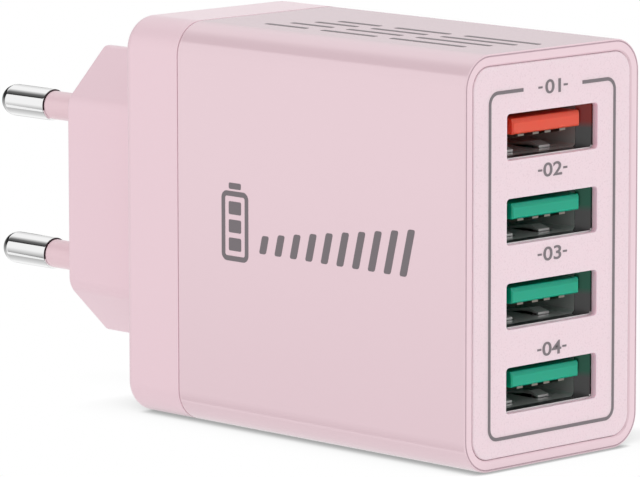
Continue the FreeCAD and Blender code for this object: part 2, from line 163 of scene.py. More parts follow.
def add_node(tree: Tree, kind: str, feeds: Feeds, **settings: object) -> bpy.types.Node:
    """Adds a node to a tree.

    Args:
        tree: Tree that gets the node.
        kind: Blender's name of the node's type.
        feeds: What its inputs get.
        settings: Properties of the node itself, set before the inputs.

    Returns:
        The new node.
    """
    node = tree.nodes.new(kind)
    for label, value in settings.items():
        setattr(node, label, value)
    feed(node, feeds)
    return node


def maths(tree: Tree, operation: str, *values: Feed) -> Socket:
    """Value that one operation makes of others."""
    feeds = dict(enumerate(values))
    return add_node(tree, "ShaderNodeMath", feeds, operation=operation).outputs["Value"]


def between(tree: Tree, share: Socket, start: float, end: float) -> Socket:
    """Value that goes from one number to another as a share goes from 0 to 1."""
    feeds = {"Value": share, "To Min": start, "To Max": end}
    return add_node(tree, "ShaderNodeMapRange", feeds).outputs["Result"]


def mixed(tree: Tree, share: Socket, below: Feed, above: Feed) -> Socket:
    """Colour that goes from one to another as a share goes from 0 to 1."""
    feeds = {"Factor": share, "A": below, "B": above}
    return add_node(tree, "ShaderNodeMix", feeds, data_type="RGBA").outputs["Result"]


class ShaderGroup:
    """Shader node group with named sockets, built once and then shared."""

    name: str = ""
    inputs: Mapping[str, Kind] = {}
    outputs: Mapping[str, Kind] = {}

    def tree(self) -> Tree:
        """Makes the group's tree on first use.

        Returns:
            The tree.
        """
        found = bpy.data.node_groups.get(self.name)
        if found:
            return found
        tree = bpy.data.node_groups.new(self.name, "ShaderNodeTree")
        for way, sockets in (("INPUT", self.inputs), ("OUTPUT", self.outputs)):
            for label, kind in sockets.items():
                tree.interface.new_socket(label, in_out=way, socket_type=kind.value)
        given = add_node(tree, "NodeGroupInput", {}).outputs
        add_node(tree, "NodeGroupOutput", self.wire(tree, given))
        return tree

    def wire(self, tree: Tree, given: Mapping[str, Socket]) -> Feeds:
        """Fills a new tree from its inputs and says what its outputs get."""
        raise NotImplementedError

    def place(self, tree: Tree, feeds: Feeds) -> Mapping[str, Socket]:
        """Puts the group into a material and feeds it the object's own coordinates.

        Args:
            tree: Node tree of the material.
            feeds: What the other inputs get.

        Returns:
            The group's outputs.
        """
        where = add_node(tree, "ShaderNodeTexCoord", {}).outputs["Object"]
        feeds = {"Vector": where, **feeds}
        return add_node(tree, "ShaderNodeGroup", feeds, node_tree=self.tree()).outputs


class SurfaceGroup(ShaderGroup):
    """Base of the groups that draw a surface: a colour, a roughness and a height for bump."""

    inputs = {
        "Vector": Kind.VECTOR,
        "Colour": Kind.COLOUR,
        "Shade": Kind.COLOUR,
        "Roughness": Kind.VALUE,
        "Spread": Kind.VALUE,
    }
    outputs = {"Colour": Kind.COLOUR, "Roughness": Kind.VALUE, "Height": Kind.VALUE}

    def spread(
        self, tree: Tree, given: Mapping[str, Socket], mottle: Socket, grain: Socket
    ) -> Feeds:
        """Makes the outputs of two patterns.

        Args:
            tree: The new group.
            given: Its inputs.
            mottle: Pattern that mixes the two colours.
            grain: Pattern of roughness and height.

        Returns:
            What the outputs get.
        """
        return {
            "Colour": mixed(tree, mottle, given["Colour"], given["Shade"]),
            "Roughness": maths(tree, "MULTIPLY_ADD", grain, given["Spread"], given["Roughness"]),
            "Height": grain,
        }


class MouldGrain(SurfaceGroup):
    """Moulded plastic: a slow mottle in the colour, a fine grain in roughness and height."""

    name = "mould_grain"
    inputs = {**SurfaceGroup.inputs, "Mottle Scale": Kind.VALUE, "Grain Scale": Kind.VALUE}

    def wire(self, tree: Tree, given: Mapping[str, Socket]) -> Feeds:
        """Makes a noise for the colours and one for roughness and height.

        Args:
            tree: The new group.
            given: Its inputs.

        Returns:
            What the outputs get.
        """
        noises = []
        for label, detail in (("Mottle Scale", 3.0), ("Grain Scale", 2.0)):
            feeds = {"Vector": given["Vector"], "Scale": given[label], "Detail": detail}
            noises.append(add_node(tree, "ShaderNodeTexNoise", feeds).outputs["Fac"])
        return self.spread(tree, given, *noises)


class DrawMarks(SurfaceGroup):
    """Drawn or stamped metal: fine streaks along X in colour, roughness and height."""

    name = "draw_marks"
    inputs = {**SurfaceGroup.inputs, "Stretch": Kind.VECTOR}

    def wire(self, tree: Tree, given: Mapping[str, Socket]) -> Feeds:
        """Makes one stretched noise, which drives all three outputs.

        Args:
            tree: The new group.
            given: Its inputs.

        Returns:
            What the outputs get.
        """
        feeds = {0: given["Vector"], 1: given["Stretch"]}
        stretch = add_node(tree, "ShaderNodeVectorMath", feeds, operation="MULTIPLY")
        feeds = {"Vector": stretch.outputs["Vector"], "Scale": 1.0, "Detail": 3.0}
        streaks = add_node(tree, "ShaderNodeTexNoise", feeds).outputs["Fac"]
        return self.spread(tree, given, streaks, streaks)


class BeyondPlane(ShaderGroup):
    """Mask of everything that lies further along a direction than a given place."""

    name = "beyond_plane"
    inputs = {
        "Vector": Kind.VECTOR,
        "Direction": Kind.VECTOR,
        "Begin": Kind.VALUE,
        "End": Kind.VALUE,
    }
    outputs = {"Mask": Kind.VALUE}

    def wire(self, tree: Tree, given: Mapping[str, Socket]) -> Feeds:
        """Spreads the way along the direction from 0 where the mask begins to 1 where it is full.

        Args:
            tree: The new group.
            given: Its inputs.

        Returns:
            What the output gets.
        """
        feeds = {0: given["Vector"], 1: given["Direction"]}
        reach = add_node(tree, "ShaderNodeVectorMath", feeds, operation="DOT_PRODUCT")
        feeds = {
            "Value": reach.outputs["Value"],
            "From Min": given["Begin"],
            "From Max": given["End"],
        }
        return {"Mask": add_node(tree, "ShaderNodeMapRange", feeds).outputs["Result"]}


@dataclass(frozen=True)
class Finish:
    """Base of the finishes: a named material whose surface comes from one shared group."""

    name: str
    colour: Colour
    shade: float = 0.95
    roughness: float = 0.3
    spread: float = 0.1
    relief: float = 0.1

    def material(self) -> bpy.types.Material:
        """Makes the finish's material on first use.

        Returns:
            The material.
        """
        found = bpy.data.materials.get(self.name)
        if found:
            return found
        material = bpy.data.materials.new(self.name)
        material.use_nodes = True
        tree = material.node_tree
        group, own_feeds = self.pattern()
        feeds = {
            "Colour": rgba(self.colour),
            "Shade": rgba(tuple(channel * self.shade for channel in self.colour)),
            "Roughness": self.roughness - self.spread / 2,
            "Spread": self.spread,
        }
        surface = group.place(tree, {**feeds, **own_feeds})
        feeds = {"Strength": self.relief, "Distance": BUMP_DEPTH, "Height": surface["Height"]}
        bump = add_node(tree, "ShaderNodeBump", feeds)
        shader = tree.nodes["Principled BSDF"]
        feeds = {
            "Base Color": surface["Colour"],
            "Roughness": surface["Roughness"],
            "Normal": bump.outputs["Normal"],
        }
        feed(shader, {**feeds, **self.constants()})
        self.paint_over(shader)
        return material

    def pattern(self) -> tuple[ShaderGroup, Feeds]:
        """The group that draws the surface, and what the inputs get that only this group has."""
        raise NotImplementedError

    def constants(self) -> Feeds:
        """What the shader gets that is the same all over the surface."""
        raise NotImplementedError

    def paint_over(self, shader: bpy.types.Node) -> None:
        """Adds further colours to the shader, for a finish that has them."""


@dataclass(frozen=True)
class Moulded(Finish):
    """Moulded plastic, epoxy or ceramic."""

    mottle_scale: float = 60.0
    grain_scale: float = 5000.0
    specular: float = 0.5
    ior: float = 1.5
    gloss_tint: Colour = (1.0, 1.0, 1.0)
    glow_through: float = 0.0
    glow_depth: float = 1.5 * MM
    haze: float = 0.0
    haze_roughness: float = 0.3

    def pattern(self) -> tuple[ShaderGroup, Feeds]:
        """Mottle and grain of the mould."""
        return MouldGrain(), {"Mottle Scale": self.mottle_scale, "Grain Scale": self.grain_scale}

    def constants(self) -> Feeds:
        """Gloss, the light that seeps through, and a pale bloom at grazing angles.

        Returns:
            What the shader gets.
        """
        return {
            "Specular IOR Level": self.specular,
            "Specular Tint": rgba(self.gloss_tint),
            "IOR": self.ior,
            "Subsurface Weight": self.glow_through,
            "Subsurface Radius": self.colour,
            "Subsurface Scale": self.glow_depth,
            "Sheen Weight": self.haze,
            "Sheen Roughness": self.haze_roughness,
        }


@dataclass(frozen=True)
class Plated(Finish):
    """Plated or bare metal with fine marks along X."""

    stretch: Triple = (80.0, 6000.0, 6000.0)
    metallic: float = 1.0

    def pattern(self) -> tuple[ShaderGroup, Feeds]:
        """Marks of drawing and stamping."""
        return DrawMarks(), {"Stretch": self.stretch}

    def constants(self) -> Feeds:
        """How much of the surface is metal."""
        return {"Metallic": self.metallic}


@dataclass(frozen=True)
class PaintedShadeSheet(Plated):
    """Sheet steel with painted shade and a painted reflection of the tongue on its flared mouth;
    its cut edge is painted bright as bare metal, a painted highlight.
    """

    metallic: float = 0.45
    # Colour of the flared mouth: painted shade.
    mouth_shade: Colour = (0.05, 0.05, 0.05)
    mouth_depth: float = 1.45 * MM
    # Cut edge painted bright as bare metal, within a depth from the front and below a height: a
    # painted highlight.
    painted_highlight: Colour = (0.8, 0.8, 0.8)
    edge: float = 0.03 * MM
    painted_highlight_level: float = 0.0
    # The tongue's reflection, painted on the mouth above a height, with a soft edge.
    painted_reflection: Colour = (0.05, 0.05, 0.05)
    painted_reflection_level: float = 0.0
    painted_reflection_blur: float = 0.8 * MM

    def paint_over(self, shader: bpy.types.Node) -> None:
        """Paints shade on the flared mouth, a reflection in the tongue's colour on it, and a
        highlight on its cut edge as bare metal.

        Args:
            shader: The material's Principled BSDF.
        """
        tree = shader.id_data
        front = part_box("usb_shell_1")[1].x
        mouth_shade = self.mask(tree, X_AXIS, front - self.mouth_depth)
        above = self.mask(tree, Z_AXIS, self.painted_reflection_level - self.painted_reflection_blur / 2, self.painted_reflection_blur)
        rim = self.mask(tree, X_AXIS, front - self.edge)
        below = self.mask(tree, -Z_AXIS, -self.painted_highlight_level)
        # Painted shade on the mouth, the tongue's painted reflection above its underside, and the
        # painted highlight on the cut edge near the bottom.
        layers = (
            (self.mouth_shade, mouth_shade),
            (self.painted_reflection, maths(tree, "MULTIPLY", mouth_shade, above)),
            (self.painted_highlight, maths(tree, "MULTIPLY", rim, below)),
        )
        for colour, mask in layers:
            painted = shader.inputs["Base Color"].links[0].from_socket
            feed(shader, {"Base Color": mixed(tree, mask, painted, rgba(colour))})

    def mask(self, tree: Tree, direction: Vector, begin: float, blur: float = TOUCH) -> Socket:
        """Mask of what lies beyond a plane.

        Args:
            tree: Node tree of the material.
            direction: The plane's normal.
            begin: Where the mask begins along it.
            blur: How far on it is full.

        Returns:
            The mask.
        """
        feeds = {"Direction": direction, "Begin": begin, "End": begin + blur}
        return BeyondPlane().place(tree, feeds)["Mask"]


class Finishes:
    """The charger's finishes, one for each kind of surface."""

    PINK_BODY = Moulded(
        "pink_body", from_srgb(227, 199, 207), 0.985, 0.16, 0.05, 0.04,
        specular=1.0, ior=1.65, gloss_tint=(1.0, 0.91, 0.94),
    )
    PINK_CAP = Moulded(
        "pink_cap", from_srgb(232, 202, 211), 0.985, 0.42, 0.06, 0.04, specular=0.75, haze=0.5
    )
    PINK_PANEL = Moulded(
        "pink_panel", from_srgb(230, 208, 215), 0.985, 0.28, 0.06, 0.05, glow_through=0.35
    )
    # Lighter pink of the openings' walls: painted light.
    PINK_REVEAL_PAINTED_LIGHT = Moulded(
        "pink_reveal_painted_light", from_srgb(252, 214, 226), 0.985, 0.4, 0.06, 0.05,
        specular=0.2, glow_through=0.35,
    )
    PINK_SLEEVE = Moulded(
        "pink_sleeve", from_srgb(229, 199, 206), 0.98, 0.3, 0.06, 0.05, haze=0.5
    )
    # Darker pink of the hairline groove on the housing's front: painted shade.
    PINK_CREASE_SHADE = Moulded("pink_crease_shade", from_srgb(192, 166, 175), 0.98, 0.4, 0.06, 0.05)
    PRINT_GREY = Moulded(
        "print_grey", from_srgb(116, 108, 112), 0.92, 0.5, 0.1, 0.05, grain_scale=9000.0
    )
    ORANGE = Moulded(
        "orange_tongue", from_srgb(229, 86, 63), 0.94, 0.3, 0.08, 0.05,
        specular=0.35, glow_through=0.9, glow_depth=4.0 * MM,
    )
    GREEN = Moulded(
        "green_tongue", from_srgb(10, 162, 132), 0.94, 0.3, 0.08, 0.05,
        specular=0.35, glow_through=0.9, glow_depth=4.0 * MM,
    )
    # Darker metal on the upper pin shoulders: painted shade in the crevice by the sleeve.
    CREVICE_SHADE = Plated("painted_crevice_shade", (0.06, 0.04, 0.045), 0.9, 0.4, 0.1, 0.05)
    BRIGHT_PLATE = Plated("bright_plate", (0.9, 0.9, 0.9), 0.97, 0.05, 0.03, 0.02)
    CONTACT_PLATE = Plated("contact_plate", (0.24, 0.22, 0.19), 0.85, 0.35, 0.1, 0.1)
    # Colours of the tongues' reflections, painted on the sockets' mouths.
    RED_PAINTED_REFLECTION = (0.17, 0.015, 0.012)
    GREEN_PAINTED_REFLECTION = (0.008, 0.075, 0.045)
    LAMINATE = Moulded(
        "board_lacquer", (0.03, 0.16, 0.07), 0.7, 0.35, 0.1, 0.2, mottle_scale=900.0
    )
    FERRITE = Moulded(
        "ferrite_grey", (0.045, 0.045, 0.05), 0.7, 0.6, 0.15, 0.5, mottle_scale=700.0
    )
    BLACK_RESIN = Moulded(
        "black_resin", (0.02, 0.02, 0.021), 0.8, 0.45, 0.1, 0.2, mottle_scale=500.0
    )
    YELLOW_TAPE = Moulded(
        "yellow_tape", (0.75, 0.55, 0.08), 0.85, 0.35, 0.1, 0.2, mottle_scale=300.0
    )
    SHRINK_BLACK = Moulded(
        "shrink_black", (0.02, 0.02, 0.025), 0.8, 0.25, 0.05, 0.05, mottle_scale=200.0
    )
    BLUE_DIP = Moulded(
        "blue_dip", (0.05, 0.18, 0.5), 0.85, 0.2, 0.05, 0.3,
        mottle_scale=300.0, grain_scale=900.0,
    )
    FUSE_COAT = Moulded(
        "fuse_coat", (0.2, 0.32, 0.22), 0.85, 0.4, 0.1, 0.3,
        mottle_scale=400.0, grain_scale=1500.0,
    )

    @staticmethod
    def socket_steel(number: int, painted_reflection: Colour, painted_reflection_level: float, painted_highlight_level: float) -> Finish:
        """Steel of one socket's shell, with painted shade, a painted reflection and a painted
        highlight at its mouth.

        Args:
            number: Number of the socket.
            painted_reflection: Colour of the tongue's reflection, painted on the mouth.
            painted_reflection_level: Height above which it is painted.
            painted_highlight_level: Height below which the mouth's cut edge is painted bright as
                bare metal, a painted highlight.

        Returns:
            The finish.
        """
        return PaintedShadeSheet(
            f"socket_steel_{number}", (0.6, 0.6, 0.59), 0.85, 0.2, 0.06, 0.05,
            painted_reflection=painted_reflection, painted_reflection_level=painted_reflection_level, painted_highlight_level=painted_highlight_level,
        )


def add_block(shape: BMesh, low: Vector, high: Vector) -> list[BMEdge]:
    """Adds a cube stretched between two corners to a mesh.

    Args:
        shape: Mesh that gets the cube.
        low: Lowest corner.
        high: Highest corner.

    Returns:
        The cube's edges.
    """
    made = bmesh.ops.create_cube(shape, size=1.0)["verts"]
    bmesh.ops.scale(shape, vec=high - low, verts=made)
    bmesh.ops.translate(shape, vec=(low + high) / 2, verts=made)
    return list({edge for vert in made for edge in vert.link_edges})


def block(low: Vector, high: Vector) -> BMesh:
    """Starts a mesh from a stretched cube.

    Args:
        low: Lowest corner.
        high: Highest corner.

    Returns:
        The new mesh.
    """
    shape = bmesh.new()
    add_block(shape, low, high)
    return shape


def along(edges: Iterable[BMEdge], axis: int) -> list[BMEdge]:
    """Those edges that run along an axis.

    Args:
        edges: Edges to look through.
        axis: 0, 1 or 2 for X, Y or Z.

    Returns:
        The edges found.
    """
    found = []
    for edge in edges:
        run = edge.verts[1].co - edge.verts[0].co
        if run.length > TOUCH and abs(run[axis]) > STRAIGHT * run.length:
            found.append(edge)
    return found


def across(edges: Iterable[BMEdge], axis: int, place: float) -> list[BMEdge]:
    """Those edges that lie at a place of an axis, in the plane square to it."""
    return [e for e in edges if all(abs(v.co[axis] - place) < TOUCH for v in e.verts)]


def ease(
    shape: BMesh,
    geometry: Iterable[BMEdge | BMVert],
    offset: float,
    steps: int,
    affect: str = "EDGES",
) -> None:
    """Rounds edges off, or the corners of a flat drawing.

    Args:
        shape: The mesh.
        geometry: Edges to round, or vertices.
        offset: How far the round reaches along the faces.
        steps: Number of strips in the round.
        affect: EDGES or VERTICES.
    """
    bmesh.ops.bevel(
        shape,
        geom=list(geometry),
        offset=offset,
        offset_type="OFFSET",
        segments=steps,
        profile=0.5,
        affect=affect,
        material=-1,
        clamp_overlap=True,
    )


def face_looking(shape: BMesh, axis: int, sign: int) -> BMFace:
    """The largest face that looks along an axis.

    Args:
        shape: The mesh.
        axis: 0, 1 or 2 for X, Y or Z.
        sign: 1 or -1 for the way it looks.

    Returns:
        The face.
    """
    shape.normal_update()
    found = [face for face in shape.faces if face.normal[axis] * sign > SQUARE]
    return max(found, key=lambda face: face.calc_area())


def step_in(shape: BMesh, face: BMFace, *steps: Pair) -> BMFace:
    """Draws a face in from its outline and moves it along its normal, step by step.

    Args:
        shape: The mesh.
        face: Face to draw in.
        steps: How far it is drawn in, where 0 leaves its outline, and how far it moves outwards.

    Returns:
        The face in its new place.
    """
    for inset, depth in steps:
        if inset > 0:
            bmesh.ops.inset_region(
                shape, faces=[face], thickness=inset, depth=depth, use_even_offset=True
            )
        else:
            out = face.normal.copy()
            face = bmesh.ops.extrude_discrete_faces(shape, faces=[face])["faces"][0]
            bmesh.ops.translate(shape, vec=out * depth, verts=face.verts)
    return face


def bore(shape: BMesh, ends: list[BMFace]) -> None:
    """Opens two faces and joins their outlines by a wall.

    Args:
        shape: The mesh.
        ends: The faces, which are deleted.
    """
    edges = [edge for end in ends for edge in end.edges]
    bmesh.ops.delete(shape, geom=ends, context="FACES_ONLY")
    bmesh.ops.bridge_loops(shape, edges=edges)


def cut(
    shape: BMesh,
    place: Vector,
    normal: Vector,
    face: BMFace | None = None,
    clear_outer: bool = False,
) -> list[BMFace]:
    """Cuts edges into a mesh along a plane.

    Args:
        shape: The mesh.
        place: A point of the plane.
        normal: Its normal.
        face: The one face to cut, or none for the whole mesh.
        clear_outer: Whether what lies beyond the plane is deleted.

    Returns:
        The faces that were looked at and those that came of them.
    """
    part = face or shape
    faces = [face] if face else shape.faces
    made = bmesh.ops.bisect_plane(
        shape,
        geom=[*part.verts, *part.edges, *faces],
        dist=CUT,
        plane_co=place,
        plane_no=normal,
        clear_outer=clear_outer,
    )
    return [item for item in made["geom"] if isinstance(item, BMFace)]


def merge(shape: BMesh, other: BMesh) -> None:
    """Puts one mesh into another.

    Args:
        shape: Mesh that gets the other.
        other: The other mesh, which is used up.
    """
    carrier = bpy.data.meshes.new("carrier")
    other.to_mesh(carrier)
    other.free()
    shape.from_mesh(carrier)
    bpy.data.meshes.remove(carrier)


def plate(width: float, height: float, radius: float = 0.0) -> BMesh:
    """Flat rounded rectangle round the origin, in the XY plane.

    Args:
        width: Size along X.
        height: Size along Y.
        radius: Radius of its corners; 0 leaves them square.

    Returns:
        The new mesh.
    """
    shape = bmesh.new()
    bmesh.ops.create_grid(shape, x_segments=1, y_segments=1, size=0.5)
    bmesh.ops.scale(shape, vec=Vector((width, height, 1)), verts=shape.verts)
    if radius > 0:
        ease(shape, shape.verts, radius, PRINT_CORNER_STEPS, "VERTICES")
    return shape


def outline(width: float, height: float, radius: float, line: float) -> BMesh:
    """Line along a rounded rectangle, whose outer edge has these sizes.

    Args:
        width: Size along X.
        height: Size along Y.
        radius: Radius of its outer corners.
        line: Width of the line.

    Returns:
        The new mesh.
    """
    shape = plate(width, height, radius)
    inner = list(shape.faces)
    bmesh.ops.inset_region(
        shape, faces=inner, thickness=line, use_even_offset=True, use_boundary=True
    )
    bmesh.ops.delete(shape, geom=inner, context="FACES")
    return shape


def make_object(
    shape: BMesh, name: str, materials: Iterable[bpy.types.Material]
) -> bpy.types.Object:
    """Makes an object of a mesh.

    Args:
        shape: The finished mesh, which is used up.
        name: Name of the object.
        materials: Its materials.

    Returns:
        The new object.
    """
    mesh = bpy.data.meshes.new(name)
    shape.to_mesh(mesh)
    shape.free()
    for material in materials:
        mesh.materials.append(material)
    made = bpy.data.objects.new(name, mesh)
    bpy.context.scene.collection.objects.link(made)
    return made


def make_piece(
    shape: BMesh,
    name: str,
    finishes: Sequence[Finish],
    stands_for: str | None = None,
) -> bpy.types.Object:
    """Makes a piece that rides with the charger.

    Args:
        shape: The finished mesh, which is used up.
        name: Name of the piece.
        finishes: Its finish, and those of faces that have one of their own.
        stands_for: CAD node that it replaces, if any.

    Returns:
        The piece.
    """
    piece = make_object(shape, name, [finish.material() for finish in finishes])
    piece.data.shade_smooth()
    piece.data.set_sharp_from_angle(angle=SHARP_ANGLE)
    weigh = piece.modifiers.new("even_shading", "WEIGHTED_NORMAL")
    weigh.keep_sharp = True
    weigh.weight = NORMAL_WEIGHT
    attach(piece, BODY)
    if stands_for:
        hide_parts(stands_for)
    return piece


def dress(node: str, finish: Finish) -> bpy.types.Object:
    """Gives a CAD node its finish.

    Args:
        node: Name of the node.
        finish: Finish that it takes.

    Returns:
        The node's object.
    """
    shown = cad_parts[node]
    shown.data.materials.clear()
    shown.data.materials.append(finish.material())
    return shown


class Assembly:
    """Part of the charger that models its pieces and dresses them."""

    def build(self) -> Pieces:
        """Models and dresses the pieces, and returns them."""
        raise NotImplementedError


@dataclass
class Housing(Assembly):
    """Sleeve-shaped main housing with a stepped front that takes the panel."""

    corner_radius: float = 4.0 * MM
    corner_steps: int = 14
    wall: float = 1.9 * MM
    rim_width: float = 1.4 * MM
    rim_edge: float = 0.2 * MM
    front_edge: float = 0.16 * MM
    front_steps: int = 5
    seam_edge: float = 0.2 * MM
    seam_steps: int = 3
    hairline: Pair = (0.18 * MM, 0.08 * MM)
    panel_depth: float = 1.8 * MM
    rail_thickness: float = 1.2 * MM
    rail_height: float = 1.8 * MM
    rail_gap: float = 0.1 * MM
    finish: Finish = Finishes.PINK_BODY
    # Darker pink for the hairline groove's faces: painted shade.
    crease_shade: Finish = Finishes.PINK_CREASE_SHADE

    def build(self) -> Pieces:
        """Models the sleeve.

        Returns:
            The sleeve.
        """
        low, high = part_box("main_housing")
        low.y += INK
        high.z -= INK
        shape = block(low, high)
        ease(shape, along(shape.edges, 0), self.corner_radius, self.corner_steps)
        ease(shape, across(shape.edges, 0, low.x), self.seam_edge, self.seam_steps)
        ease(shape, across(shape.edges, 0, high.x), self.front_edge, self.front_steps)
        rear = face_looking(shape, 0, -1)
        face = face_looking(shape, 0, 1)
        width, depth = self.hairline
        before = set(shape.faces)
        face = step_in(shape, face, (width / 2, -depth), (width / 2, depth))
        # The hairline groove's faces take the darker pink: painted shade.
        for strip in set(shape.faces) - before:
            strip.material_index = 1
        face = step_in(
            shape,
            face,
            (self.rim_width - self.front_edge - width - self.rim_edge, 0.0),
            (self.rim_edge, -self.rim_edge),
            (0.0, self.rim_edge - self.panel_depth),
            (self.wall - self.rim_width, 0.0),
            (0.0, low.x - high.x + self.panel_depth),
        )
        bore(shape, [rear, face])
        self.add_rails(shape, low, high)
        bmesh.ops.recalc_face_normals(shape, faces=shape.faces)
        finishes = [self.finish, self.crease_shade]
        return [make_piece(shape, "housing_sleeve", finishes, "main_housing")]

    def add_rails(self, shape: BMesh, low: Vector, high: Vector) -> None:
        """Adds the rails inside, which hold the upper and lower edge of the power board.

        Args:
            shape: The sleeve.
            low: Its lowest corner.
            high: Its highest corner.
        """
        board_low, board_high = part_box("power_board")
        x_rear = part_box("rear_cover")[1].x + self.rail_gap
        x_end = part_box("usb_board")[0].x
        root, reach = self.wall / 2, self.wall + self.rail_height
        heights = ((low.z + root, low.z + reach), (high.z - reach, high.z - root))
        for y in (board_low.y - self.rail_gap - self.rail_thickness, board_high.y + self.rail_gap):
            for z, z_end in heights:
                far = Vector((x_end, y + self.rail_thickness, z_end))
                add_block(shape, Vector((x_rear, y, z)), far)


@dataclass
class SocketPanel(Assembly):
    """Flush front panel with one opening and one pocket for each socket."""

    corner_radius: float = 2.54 * MM
    corner_steps: int = 10
    depth: float = 1.8 * MM
    edge: float = 0.2 * MM
    edge_steps: int = 3
    opening: Pair = (15.2 * MM, 5.4 * MM)
    opening_radius: float = 0.45 * MM
    opening_steps: int = 5
    opening_edge: float = 0.1 * MM
    lip: float = 0.8 * MM
    pocket: Pair = (15.7 * MM, 6.02 * MM)
    tab_thickness: float = 1.0 * MM
    tab_width: float = 6.0 * MM
    tab_reach: float = 12.55 * MM
    tab_spacing: float = 24.0 * MM
    finish: Finish = Finishes.PINK_PANEL
    # Lighter pink for the openings' walls: painted light.
    painted_light_reveal: Finish = Finishes.PINK_REVEAL_PAINTED_LIGHT

    def heights(self) -> list[float]:
        """Heights of the sockets' middles, top one first."""
        return [sum(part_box(f"usb_shell_{number}"), Vector()).z / 2 for number in range(1, 5)]

    def build(self) -> Pieces:
        """Models the plate and opens it.

        Returns:
            The panel.
        """
        low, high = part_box("front_panel")
        high.x -= INK
        x_back = high.x - self.depth
        shape = block(Vector((x_back, low.y, low.z)), high)
        ease(shape, along(shape.edges, 0), self.corner_radius, self.corner_steps)
        ease(shape, across(shape.edges, 0, high.x), self.edge, self.edge_steps)
        self.score(shape, *self.pocket)
        for middle in self.heights():
            (floor,) = [f for f in self.over_socket(shape, middle) if f.normal.x < 0]
            step_in(shape, floor, (0.0, self.lip - self.depth))
        self.score(shape, *self.opening)
        for middle in self.heights():
            bore(shape, self.over_socket(shape, middle))
        corners = [edge for edge in along(shape.edges, 0) if self.is_corner(edge)]
        ease(shape, corners, self.opening_radius, self.opening_steps)
        # The openings' walls take the lighter pink: painted light.
        for face in shape.faces:
            if self.is_reveal(face, high.x - self.lip):
                face.material_index = 1
        rims = [edge for edge in across(shape.edges, 0, high.x) if self.is_rim(edge)]
        ease(shape, rims, self.opening_edge, self.edge_steps)
        self.add_tabs(shape, low.x, x_back + self.lip)
        finishes = [self.finish, self.painted_light_reveal]
        return [make_piece(shape, "socket_panel", finishes, "front_panel")]

    def score(self, shape: BMesh, width: float, height: float) -> None:
        """Cuts lines round the plate where the edges of one rectangle for each socket will run.

        Args:
            shape: The plate.
            width: Width of the rectangles.
            height: Their height.
        """
        for side in SIDES:
            cut(shape, Y_AXIS * side * width / 2, Y_AXIS)
        for middle in self.heights():
            for side in SIDES:
                cut(shape, Z_AXIS * (middle + side * height / 2), Z_AXIS)

    def over_socket(self, shape: BMesh, middle: float) -> list[BMFace]:
        """Faces square to X that lie right over or under a socket's middle.

        Args:
            shape: The plate.
            middle: Height of the socket's middle.

        Returns:
            The faces found.
        """
        shape.normal_update()
        centre = Vector((0, 0, middle))
        square = [face for face in shape.faces if abs(face.normal.x) > SQUARE]
        return [f for f in square if (f.calc_center_median() - centre).yz.length < TOUCH]

    def is_corner(self, edge: BMEdge) -> bool:
        """Whether an edge along X stands in a corner of an opening.

        Args:
            edge: Edge of the plate.

        Returns:
            True in a corner.
        """
        place = edge.verts[0].co
        half_y, half_z = (size / 2 for size in self.opening)
        if abs(abs(place.y) - half_y) > TOUCH:
            return False
        return any(abs(abs(place.z - middle) - half_z) < TOUCH for middle in self.heights())

    def is_reveal(self, face: BMFace, x_lip: float) -> bool:
        """Whether a face is a wall of an opening, from the front to the back of the lip."""
        ends = (round(x_lip, 6), round(x_lip + self.lip, 6))
        return {round(vert.co.x, 6) for vert in face.verts} == set(ends)

    def is_rim(self, edge: BMEdge) -> bool:
        """Whether a front edge bounds an opening: one of its faces is a wall."""
        return any(face.material_index == 1 for face in edge.link_faces)

    def add_tabs(self, shape: BMesh, x_rear: float, x_end: float) -> None:
        """Adds the snap tabs behind the plate.

        Args:
            shape: The plate.
            x_rear: Where the tabs end behind it.
            x_end: Where their roots lie inside the plate.
        """
        middle = sum(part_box("front_panel"), Vector()).z / 2
        half = Vector((0, self.tab_thickness, self.tab_width)) / 2
        for side in SIDES:
            for step in SIDES:
                y = side * (self.tab_reach - self.tab_thickness / 2)
                z = middle + step * self.tab_spacing / 2
                add_block(shape, Vector((x_rear, y, z)) - half, Vector((x_end, y, z)) + half)


